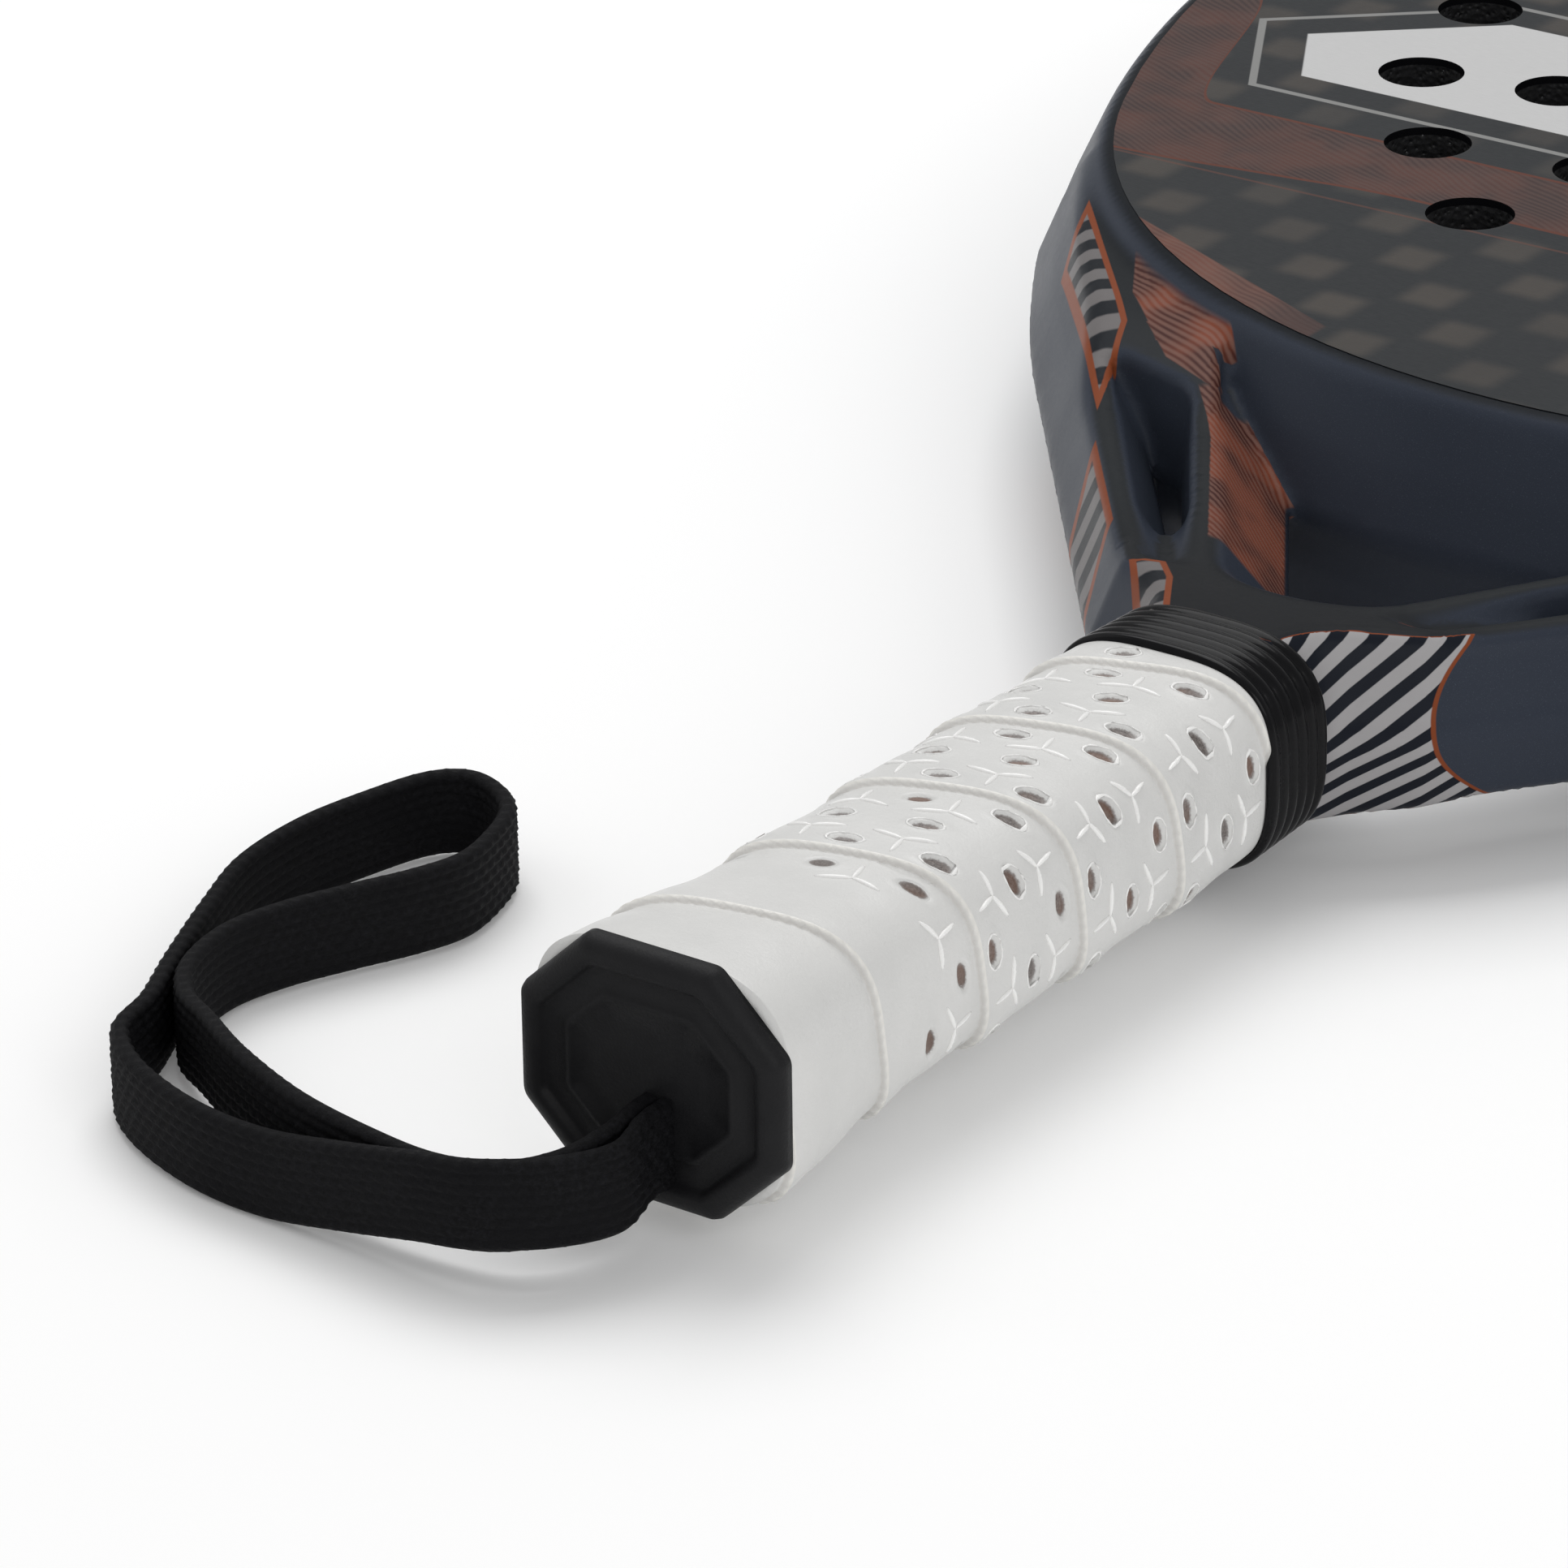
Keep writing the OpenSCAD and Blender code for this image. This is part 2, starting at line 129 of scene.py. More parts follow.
def grid_faces(rows, cols, looped=False):
    """Quads over a grid of rows by cols, closed around and optionally end to end."""
    r = np.arange(rows if looped else rows - 1)
    r, c = np.meshgrid(r, np.arange(cols), indexing="ij")
    r2, c2 = (r + 1) % rows, (c + 1) % cols
    quads = np.stack((r * cols + c, r * cols + c2, r2 * cols + c2, r2 * cols + c), axis=-1)
    return quads.reshape(-1, 4).tolist()


def grid_uv(cols, u, v, period):
    """UV by vertex for a closed grid, with u unwrapped over the joining column."""
    def look(corner, mesh):
        row, col = corner // cols, corner % cols
        uu = u[col].copy()
        quads = len(corner) // 4
        block = uu[: quads * 4].reshape(-1, 4)
        wrap = (block.max(axis=1) - block.min(axis=1)) > 0.5 * period
        low = block < block.mean(axis=1, keepdims=True)
        block[wrap[:, None] & low] += period
        uu[: quads * 4] = block.ravel()
        return np.stack((uu, v[row]), axis=1)
    return look


def squircle(a, b, angle, p=3.2):
    """Section of the handle: half width a, half height b, squarer with a higher p."""
    c, s = np.cos(angle), np.sin(angle)
    return (a * np.sign(c) * np.abs(c) ** (2 / p), b * np.sign(s) * np.abs(s) ** (2 / p))


def smooth_max(a, b, k):
    h = np.maximum(k - np.abs(a - b), 0) / k
    return np.maximum(a, b) + h * h * k / 4


def smooth_min(a, b, k):
    return -smooth_max(-a, -b, k)


def skin_of(field, low, high, step):
    """Closed quad mesh of the surface where field(x, y, z) is nought."""
    axes = [np.arange(l, h + step, step) for l, h in zip(low, high)]
    value = field(axes[0][:, None, None], axes[1][None, :, None], axes[2][None, None, :])
    inside = value < 0
    n = np.array(value.shape) - 1
    corners = [(i, j, k) for i in (0, 1) for j in (0, 1) for k in (0, 1)]
    count = sum(inside[i:n[0] + i, j:n[1] + j, k:n[2] + k].astype(np.int8) for i, j, k in corners)
    cell = np.argwhere((count > 0) & (count < 8))
    ids = -np.ones(n, dtype=np.int64)
    ids[tuple(cell.T)] = np.arange(len(cell))
    total = np.zeros((len(cell), 3))
    hits = np.zeros(len(cell))
    for a in corners:
        for k in range(3):
            if a[k]:
                continue
            b = list(a)
            b[k] = 1
            va = value[tuple((cell + a).T)]
            vb = value[tuple((cell + b).T)]
            crossed = (va < 0) != (vb < 0)
            place = cell + np.array(a, float)
            place[:, k] += va / np.where(crossed, va - vb, 1)
            total[crossed] += place[crossed]
            hits[crossed] += 1
    verts = np.array(low) + step * total / hits[:, None]
    faces = []
    for k in range(3):
        u, v = (k + 1) % 3, (k + 2) % 3
        lo = [slice(None)] * 3
        hi = [slice(None)] * 3
        lo[k], hi[k] = slice(0, -1), slice(1, None)
        change = np.argwhere(inside[tuple(lo)] != inside[tuple(hi)])
        keep = (change[:, u] > 0) & (change[:, v] > 0)
        keep &= (change[:, u] < n[u]) & (change[:, v] < n[v])
        change = change[keep]
        eu, ev = np.eye(3, dtype=int)[u], np.eye(3, dtype=int)[v]
        quad = np.stack([ids[tuple((change - d).T)] for d in (eu + ev, ev, 0 * eu, eu)], axis=1)
        outward = inside[tuple(change.T)]
        quad[~outward] = quad[~outward][:, ::-1]
        faces.append(quad)
    for _ in range(4):
        f = field(*verts.T)
        slope = np.empty_like(verts)
        for k in range(3):
            d = np.zeros(3)
            d[k] = 0.15
            slope[:, k] = (field(*(verts + d).T) - field(*(verts - d).T)) / 0.3
        move = (f / np.maximum((slope ** 2).sum(axis=1), 0.05))[:, None] * slope
        verts = verts - np.clip(move, -0.6, 0.6)
    return verts, np.concatenate(faces).tolist()


# ---------------------------------------------------------------- material helpers

class Net:
    """Short calls for building one node tree."""

    def __init__(self, tree):
        self.tree = tree

    def feed(self, socket, value):
        if isinstance(value, bpy.types.NodeSocket):
            self.tree.links.new(value, socket)
        elif value is not None:
            if isinstance(value, (tuple, list)) and len(value) == 3 and socket.type == "RGBA":
                value = (*value, 1.0)
            socket.default_value = value

    def add(self, kind, settings=(), **values):
        node = self.tree.nodes.new(kind)
        for key, value in dict(settings).items():
            setattr(node, key, value)
        for key, value in values.items():
            self.feed(node.inputs[key.replace("_", " ")], value)
        return node

    def math(self, op, *values):
        node = self.add("ShaderNodeMath", {"operation": op})
        for socket, value in zip(node.inputs, values):
            self.feed(socket, value)
        return node.outputs[0]

    def plus(self, a, b):
        return self.math("ADD", a, b)

    def minus(self, a, b):
        return self.math("SUBTRACT", a, b)

    def times(self, a, b):
        return self.math("MULTIPLY", a, b)

    def times_plus(self, a, b, c):
        return self.math("MULTIPLY_ADD", a, b, c)

    def over(self, a, b):
        return self.math("DIVIDE", a, b)

    def least(self, a, b):
        return self.math("MINIMUM", a, b)

    def most(self, a, b):
        return self.math("MAXIMUM", a, b)

    def size(self, a):
        return self.math("ABSOLUTE", a)

    def reach(self, a, b):
        """Length of the arrow with the sides a and b."""
        return self.math("SQRT", self.plus(self.times(a, a), self.times(b, b)))

    def vec(self, op, a, b=None, scale=None):
        node = self.add("ShaderNodeVectorMath", {"operation": op})
        for key, value in ((0, a), (1, b), ("Scale", scale)):
            if value is not None:
                self.feed(node.inputs[key], value)
        return node.outputs

    def vector(self, x, y, z):
        return self.add("ShaderNodeCombineXYZ", X=x, Y=y, Z=z).outputs[0]

    def parts(self, vector):
        return self.add("ShaderNodeSeparateXYZ", Vector=vector).outputs

    def mix(self, amount, a, b):
        node = self.add("ShaderNodeMix", {"data_type": "RGBA"})
        for key, value in ((0, amount), (6, a), (7, b)):
            self.feed(node.inputs[key], value)
        return node.outputs[2]

    def step(self, value, low, high, out_low=0.0, out_high=1.0):
        node = self.add("ShaderNodeMapRange", {"interpolation_type": "SMOOTHSTEP"})
        for socket, v in zip(node.inputs, (value, low, high, out_low, out_high)):
            self.feed(socket, v)
        return node.outputs[0]

    def noise(self, vector, scale, detail=3.0, rough=0.5):
        return self.add("ShaderNodeTexNoise", Vector=vector, Scale=scale, Detail=detail, Roughness=rough).outputs[0]

    def bump(self, height, distance, strength=1.0):
        return self.add("ShaderNodeBump", Height=height, Distance=distance, Strength=strength).outputs[0]

    def plane(self, place, normal, offset=0):
        """Dot of the place with a direction, less the offset, in millimetres."""
        return self.minus(self.vec("DOT_PRODUCT", place, normal)["Value"], offset)

    def inside(self, place, corners):
        """Distance to the nearest side of a convex outline in x and y, positive within."""
        p = np.array(corners, float)
        middle = p.mean(axis=0)
        nearest = None
        for a, b in zip(p, np.roll(p, -1, axis=0)):
            n = np.array((a[1] - b[1], b[0] - a[0])) / np.linalg.norm(b - a)
            if (middle - a) @ n < 0:
                n = -n
            d = self.plane(place, (n[0], n[1], 0), float(a @ n))
            nearest = d if nearest is None else self.least(nearest, d)
        return nearest

    def bars(self, value, pitch, share=0.5, soft=0.04):
        """Sharp-edged stripes along a value in millimetres."""
        there = self.size(self.minus(self.math("FRACT", self.over(value, pitch)), 0.5))
        return self.step(there, share / 2 + soft, share / 2 - soft)

    def folded(self, place):
        """The place with both halves of the racket folded onto positive x."""
        return self.vec("ABSOLUTE", place)[0]

    def facing(self):
        """How squarely the surface faces up or down, from 0 to 1."""
        return self.size(self.parts(self.add("ShaderNodeNewGeometry").outputs["Normal"])[2])

    def place_mm(self):
        """Object coordinates in millimetres from the handle datum and mid-plane."""
        node = self.add("ShaderNodeMapping", Scale=(1000, 1000, 1000),
                        Vector=self.add("ShaderNodeTexCoord").outputs["Object"],
                        Location=(0, TOTAL_LEN / 2 + BUTT_Y, -THICK / 2))
        return node.outputs[0]


def finish_of(name, build, **plain):
    """A Principled material; build(net) gives the colour, roughness and normal that vary."""
    mat = bpy.data.materials.new(name)
    mat.use_nodes = True
    shader = mat.node_tree.nodes["Principled BSDF"]
    net = Net(mat.node_tree)
    for key, value in plain.items():
        net.feed(shader.inputs[key.replace("_", " ")], value)
    for label, value in zip(("Base Color", "Roughness", "Normal"), build(net)):
        net.feed(shader.inputs[label], value)
    return mat


def effect_group(name, sockets_in, sockets_out, wire):
    """A shader node group; sockets as (name, kind, default)."""
    tree = bpy.data.node_groups.new(name, "ShaderNodeTree")
    kinds = {"value": "NodeSocketFloat", "vector": "NodeSocketVector", "colour": "NodeSocketColor"}
    for label, kind, default in sockets_in:
        socket = tree.interface.new_socket(name=label, in_out="INPUT", socket_type=kinds[kind])
        if default is not None:
            socket.default_value = default
    for label, kind in sockets_out:
        tree.interface.new_socket(name=label, in_out="OUTPUT", socket_type=kinds[kind])
    start = tree.nodes.new("NodeGroupInput")
    end = tree.nodes.new("NodeGroupOutput")
    wire(Net(tree), start.outputs, end.inputs)
    return tree


def use_group(net, tree, **values):
    node = net.tree.nodes.new("ShaderNodeGroup")
    node.node_tree = tree
    for key, value in values.items():
        net.feed(node.inputs[key.replace("_", " ")], value)
    return node.outputs


def wire_grain(net, i, o):
    fine = net.noise(i["Place"], i["Scale"], 4.0, 0.6)
    broad = net.noise(i["Place"], net.times(i["Scale"], 0.06), 2.0, 0.5)
    net.feed(o["Height"], fine)
    shift = net.times_plus(net.minus(fine, 0.5), i["Spread"], i["Roughness"])
    net.feed(o["Roughness"], net.times_plus(net.minus(broad, 0.5), i["Spread"], shift))


GRAIN = effect_group(
    "moulding grain",
    [("Place", "vector", None), ("Scale", "value", 3.0), ("Roughness", "value", 0.5), ("Spread", "value", 0.15)],
    [("Height", "value"), ("Roughness", "value")],
    wire_grain,
)


# ---------------------------------------------------------------- wrist strap

STRAP_WIDE = 11.0
STRAP_THICK = 2.2
LOW = STRAP_WIDE / 2 - THICK / 2 + 0.1
GRIP_Y = BUTT_Y + 3.0
STRAP_ROUTE = [
    (2.2, GRIP_Y, -7.4), (2.2, -5, -7.4), (2.6, -11.1, -8.5), (-0.9, -18.4, -8.2),
    (-8, -23.1, -8.5), (-15.4, -24.1, -9.2), (-26, -23.6, -11.4), (-37.9, -23, LOW),
    (-48.9, -22, LOW), (-60.6, -17.6, LOW), (-68, -11.5, LOW), (-70.5, -3.3, LOW),
    (-74.9, 6.6, LOW), (-80.6, 20.7, LOW), (-84.2, 31.4, LOW), (-84.8, 43.1, LOW),
    (-82.8, 53.8, LOW), (-80.2, 61.8, LOW), (-76.3, 65.1, LOW), (-71.2, 64, LOW),
    (-66.4, 59.9, LOW), (-63.7, 52.8, LOW), (-62.8, 46, LOW), (-64.8, 39.4, LOW),
    (-68.5, 31.8, LOW), (-72.1, 23.7, LOW), (-74, 15.2, LOW), (-71.6, 5.6, -12.9),
    (-66.9, -1.1, -12.7), (-59.7, -5.9, -11.9), (-50, -12, -11.1), (-37, -17.8, -10.6),
    (-25.5, -19.7, -11.1), (-16, -19.9, -11.5), (-7.8, -18.3, -10.8), (-2.7, -13.8, -9.7),
    (-0.5, -8.1, -8.3), (-0.2, -4, -7.4), (-0.2, GRIP_Y, -7.4),
]


def smooth_route(points, fine):
    """Points along the curve through the route, about `fine` millimetres apart."""
    p = np.array(points, float)
    p = np.vstack((p[:1], p, p[-1:]))
    out = []
    for k in range(1, len(p) - 2):
        a, b, c, d = p[k - 1], p[k], p[k + 1], p[k + 2]
        t = np.linspace(0, 1, 24, endpoint=False)[:, None]
        square, cube = 2 * a - 5 * b + 4 * c - d, 3 * b - a - 3 * c + d
        out.append((2 * b + (c - a) * t + square * t ** 2 + cube * t ** 3) / 2)
    out = np.vstack(out + [p[-1:]])
    run = np.concatenate(([0], np.cumsum(np.linalg.norm(np.diff(out, axis=0), axis=1))))
    even = np.linspace(0, run[-1], int(run[-1] / fine) + 1)
    return np.stack([np.interp(even, run, out[:, k]) for k in range(3)], axis=1), even


def make_strap(material):
    """Flat braid standing on edge: eight columns of plaited strands on each face."""
    path, run = smooth_route(STRAP_ROUTE, 0.46)
    ahead = np.gradient(path, axis=0)
    flat = ahead[:, :2] / np.linalg.norm(ahead[:, :2], axis=1)[:, None]
    across = np.stack((-flat[:, 1], flat[:, 0], 0 * flat[:, 0]), axis=1)
    plies, per_ply, stitch = 8, 4, 2.1
    face = np.linspace(-1, 1, plies * per_ply + 1)
    w = np.concatenate((face, [1.0, 1.0], face[::-1], [-1.0, -1.0]))
    t = np.concatenate((np.ones(len(face)), [0.35, -0.35], -np.ones(len(face)), [-0.35, 0.35]))
    edge = np.concatenate((np.zeros(len(face)), [1, 1], np.zeros(len(face)), [1, 1]))
    ply = (w + 1) / 2 * plies
    crown = np.abs(np.sin(math.pi * ply))
    leaning = np.abs((ply % 1) - 0.5)
    phase = run[:, None] / stitch + 0.5 * (np.floor(np.clip(ply, 0, plies - 0.01)) % 2) + leaning * 0.9
    knots = 0.5 + 0.5 * np.cos(2 * math.pi * phase)
    swell = np.where(edge > 0, 0.0, 0.42 * crown * (0.35 + 0.65 * knots) - 0.25)
    ease = 1 - 0.25 * np.clip((np.abs(w) - 0.85) / 0.15, 0, 1)
    depth = t * (STRAP_THICK / 2 * ease) + np.sign(t) * swell
    rise = w * (STRAP_WIDE / 2) * np.where(edge > 0, 1.0, 0.985)
    rise = rise + np.where(edge > 0, 0.12 * np.sign(w) * np.cos(2 * math.pi * run[:, None] / stitch), 0)
    verts = path[:, None, :] + across[:, None, :] * depth[..., None] + np.array((0, 0, 1.0)) * rise[..., None]
    rows, cols = verts.shape[:2]
    faces = grid_faces(rows, cols)
    faces.append(list(range(cols))[::-1])
    faces.append([(rows - 1) * cols + k for k in range(cols)])
    piece = new_piece("wrist_strap_braid", verts.reshape(-1, 3), faces, [material],
                      uv=lambda corner, mesh: np.stack((ply[corner % cols], run[corner // cols]), axis=1))
    flip_if_inside_out(piece)
    return piece, path, run[-1]


def flip_if_inside_out(obj):
    """Turns the faces round if the closed mesh has a negative volume."""
    mesh = obj.data
    co = np.empty(len(mesh.vertices) * 3)
    mesh.vertices.foreach_get("co", co)
    co = co.reshape(-1, 3)
    mesh.calc_loop_triangles()
    tri = np.empty(len(mesh.loop_triangles) * 3, dtype=np.int32)
    mesh.loop_triangles.foreach_get("vertices", tri)
    a, b, c = (co[tri.reshape(-1, 3)[:, k]] for k in range(3))
    if (a * np.cross(b, c)).sum() < 0:
        mesh.flip_normals()


def wire_strap(net):
    place = net.place_mm()
    fuzz = net.noise(place, 1.9, 4.0, 0.7)
    worn = net.noise(place, 0.12, 2.0)
    colour = net.mix(net.step(fuzz, 0.35, 0.75), (0.0025, 0.0025, 0.003), (0.012, 0.012, 0.014))
    colour = net.mix(net.step(worn, 0.45, 0.7), colour, (0.005, 0.005, 0.006))
    rough = net.step(fuzz, 0.2, 0.8, 0.55, 0.85)
    return colour, rough, net.bump(net.noise(place, 4.5, 3.0, 0.7), 0.0002, 0.7)


strap_cloth = finish_of("braided strap", wire_strap, Specular_IOR_Level=0.12)
strap, strap_path, strap_run = make_strap(strap_cloth)
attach(strap, "root")
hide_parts("wrist_strap")


# ---------------------------------------------------------------- frame

HEEL_Y, HEEL_R, HEEL_A = 170.6, 118.0, 66.0
HALF_W, CORNER_R, RIM_W = 130.0, 100.0, 24.0
HEEL_C = np.array((0.0, HEEL_Y + HEEL_R))
SIDE_R = (HALF_W - HEEL_R * math.sin(math.radians(HEEL_A))) / (1 - math.sin(math.radians(HEEL_A)))
SIDE_C = np.array((HALF_W - SIDE_R, HEEL_C[1] + (SIDE_R - HEEL_R) * math.cos(math.radians(HEEL_A))))
CORNER_C = np.array((HALF_W - CORNER_R, SIDE_C[1]))
CORNER_A = 90 - 2 * math.degrees(math.atan((TOTAL_LEN + BUTT_Y - SIDE_C[1] - CORNER_R) / (HALF_W - CORNER_R)))
TOP_R = CORNER_R + (HALF_W - CORNER_R) / math.cos(math.radians(CORNER_A))
TOP_C = np.array((0.0, CORNER_C[1] - (TOP_R - CORNER_R) * math.sin(math.radians(CORNER_A))))
WALL = np.array(((0, 1), (3.2, 9), (6.8, 16.8), (8.2, 18.9)), float)
ARM_SLOPE = 0.79
ARM_START = np.array((23.9, 122.8))
ARM_END = np.array((77.9, ARM_START[1] + (77.9 - ARM_START[0]) / ARM_SLOPE))
BLEND_R = 232.0
YOKE_HZ, YOKE_RISE, NECK_SWELL = 11.0, 16.3, 2.0


def head_inset(x, y):
    """Distance inwards from the widest outline of the head."""
    x = np.abs(x)
    def polar(c):
        return np.degrees(np.arctan2(y - c[1], x - c[0])), np.hypot(x - c[0], y - c[1])
    (a1, r1), (a2, r2), (a3, r3), (_, r4) = polar(HEEL_C), polar(SIDE_C), polar(CORNER_C), polar(TOP_C)
    upper = np.where(a3 < CORNER_A, CORNER_R - r3, TOP_R - r4)
    return np.where(a1 <= HEEL_A - 90, HEEL_R - r1, np.where((a2 > HEEL_A - 90) & (a2 < 0), SIDE_R - r2, upper))


def arm_outline():
    lean = math.atan(ARM_SLOPE)
    centre = ARM_END + BLEND_R * np.array((-math.cos(lean), math.sin(lean)))
    turn = np.linspace(-lean, math.radians(HEEL_A - 90 + 0.5), 14)
    arc = centre + BLEND_R * np.stack((np.cos(turn), np.sin(turn)), axis=1)
    neck = np.array(((14.0, 108), (14.4, 113.5), (15.2, 115.5), (17.2, 117.8), (20.4, 120.4), (24.6, 123.7)))
    return np.vstack((neck, arc))


ARM = arm_outline()


def arm_inset(x, y):
    """Distance inwards from the outer edge of the throat's arms."""
    x = np.abs(x)
    best = np.full(np.broadcast(x, y).shape, 1e9)
    for p, q in zip(ARM[:-1], ARM[1:]):
        d = q - p
        s = np.clip(((x - p[0]) * d[0] + (y - p[1]) * d[1]) / (d @ d), 0, 1)
        best = np.minimum(best, np.hypot(x - p[0] - s * d[0], y - p[1] - s * d[1]))
    return np.where(x < np.interp(y, ARM[:, 1], ARM[:, 0]), best, -best)


def wall_field(inset, z):
    """Signed distance to the faceted outer wall drawn as inset against height."""
    f = -inset + 0 * z
    for (d0, z0), (d1, z1) in zip(WALL[:-1], WALL[1:]):
        f = np.maximum(f, ((z - z0) * (d1 - d0) - (inset - d0) * (z1 - z0)) / math.hypot(d1 - d0, z1 - z0))
    return f


MID_C, MID_R, MID_A, MID_LEAN = np.array((0.0, 145.5)), 16.8, math.radians(-32.2), 9.0
SIDE_FACE = np.array(((20.3, 129.2), (57.6, 178.6), (43.0, 175.2), (14.1, 130.2)))
SIDE_WAIST = np.array(((28.9, 149.4), (48.6, 174.6), (42.4, 172.2), (27.2, 148.9)))


def mid_window(x, y):
    x = np.abs(x)
    out = (x - MID_C[0]) * math.cos(MID_A) + (y - MID_C[1]) * math.sin(MID_A)
    along = -(x - MID_C[0]) * math.sin(MID_A) + (y - MID_C[1]) * math.cos(MID_A)
    return np.where(along > 0, MID_R - out, MID_R - np.hypot(x - MID_C[0], y - MID_C[1]))


def inside_corners(corners, x, y, soft):
    x = np.abs(x)
    f = None
    for p, q in zip(corners, np.roll(corners, -1, axis=0)):
        d = (q - p) / np.linalg.norm(q - p)
        g = (y - p[1]) * d[0] - (x - p[0]) * d[1]
        f = g if f is None else smooth_min(f, g, soft)
    return f


def frame_field(x, y, z):
    z = np.abs(z)
    head = head_inset(x, y)
    rim = smooth_max(wall_field(head, z), z - 18.9 + 0 * head, 1.6)
    rim = np.maximum(rim, head - RIM_W)
    arm = arm_inset(x, y)
    crest = YOKE_HZ + (YOKE_RISE - YOKE_HZ) * (1 - np.cos(math.pi * np.clip((y - 165) / 25, 0, 1))) / 2
    crest = crest + NECK_SWELL * (1 + np.cos(math.pi * np.clip((y - 116) / 20, 0, 1))) / 2
    yoke = smooth_max(wall_field(arm, z), z - crest, 1.8)
    yoke = smooth_max(yoke, head - 12 + 0 * z, 1.0)
    yoke = smooth_max(yoke, y - 231.5 + 0 * z, 4.0)
    up = np.minimum(z / YOKE_HZ, 1)
    mid = (mid_window(x, y) - MID_LEAN * (1 - up)) / 1.2
    yoke = smooth_max(yoke, mid, 1.5)
    face = inside_corners(SIDE_FACE, x, y, 2.4)
    waist = inside_corners(SIDE_WAIST, x, y, 1.2)
    yoke = smooth_max(yoke, face * up + waist * (1 - up), 1.3)
    yoke = np.maximum(yoke, 112.2 - y + 0 * z)
    return smooth_min(rim, yoke, 2.2)


# outlines of the printed panels on the right half, x and y in millimetres
SHOULDER_PANEL = [(83.0, 211.3), (59.2, 183.4), (53.9, 170.3), (79.2, 200.8)]
STRUT_PANEL = [(44.3, 154.2), (31.3, 137.8), (29.1, 129.3), (41.2, 143.9)]
NECK_PANEL = [(19.4, 126.4), (16.7, 127.5), (12.8, 123.0), (7.1, 113.4), (8.5, 111.8)]
COPPER_UPPER = [(69.5, 202.7), (48.2, 190.7), (41.5, 183.8), (52.5, 181.5), (62.3, 190.9)]
COPPER_LOWER = [(49.5, 187.4), (41.0, 179.5), (39.3, 175.6), (49.3, 179.0), (56.0, 184.6)]
PRINT_GREY, PRINT_DARK = (0.16, 0.15, 0.15), (0.012, 0.014, 0.018)
ORANGE, COPPER, COPPER_DARK = (0.21, 0.052, 0.019), (0.19, 0.052, 0.028), (0.052, 0.016, 0.013)


def wire_hatch(net, i, o):
    place = i["Place"]
    warp = net.times(net.noise(place, 0.06, 1.0), 5.0)
    fine = net.bars(net.plus(net.plane(place, (0.42, 0.9, 0.1), 0), warp), 0.95, 0.55, 0.2)
    broad = net.noise(place, 0.11, 2.0)
    tone = net.mix(net.step(broad, 0.35, 0.65), COPPER_DARK, COPPER)
    tone = net.mix(net.times(fine, 0.55), tone, (0.22, 0.12, 0.095))
    net.feed(o["Colour"], tone)
    net.feed(o["Height"], fine)


HATCH = effect_group(
    "copper hatching", [("Place", "vector", None)], [("Colour", "colour"), ("Height", "value")], wire_hatch)


# directions of the right arm, along it and out of its outer wall, and its striped panel
ARM_ALONG, ARM_OUT = (0.62, 0.785, 0), (0.785, -0.62, 0)
WIDE_PITCH, WIDE_LEAN, PANEL_NEAR, PANEL_TOP = 3.55, -0.668, 90.0, 13.6


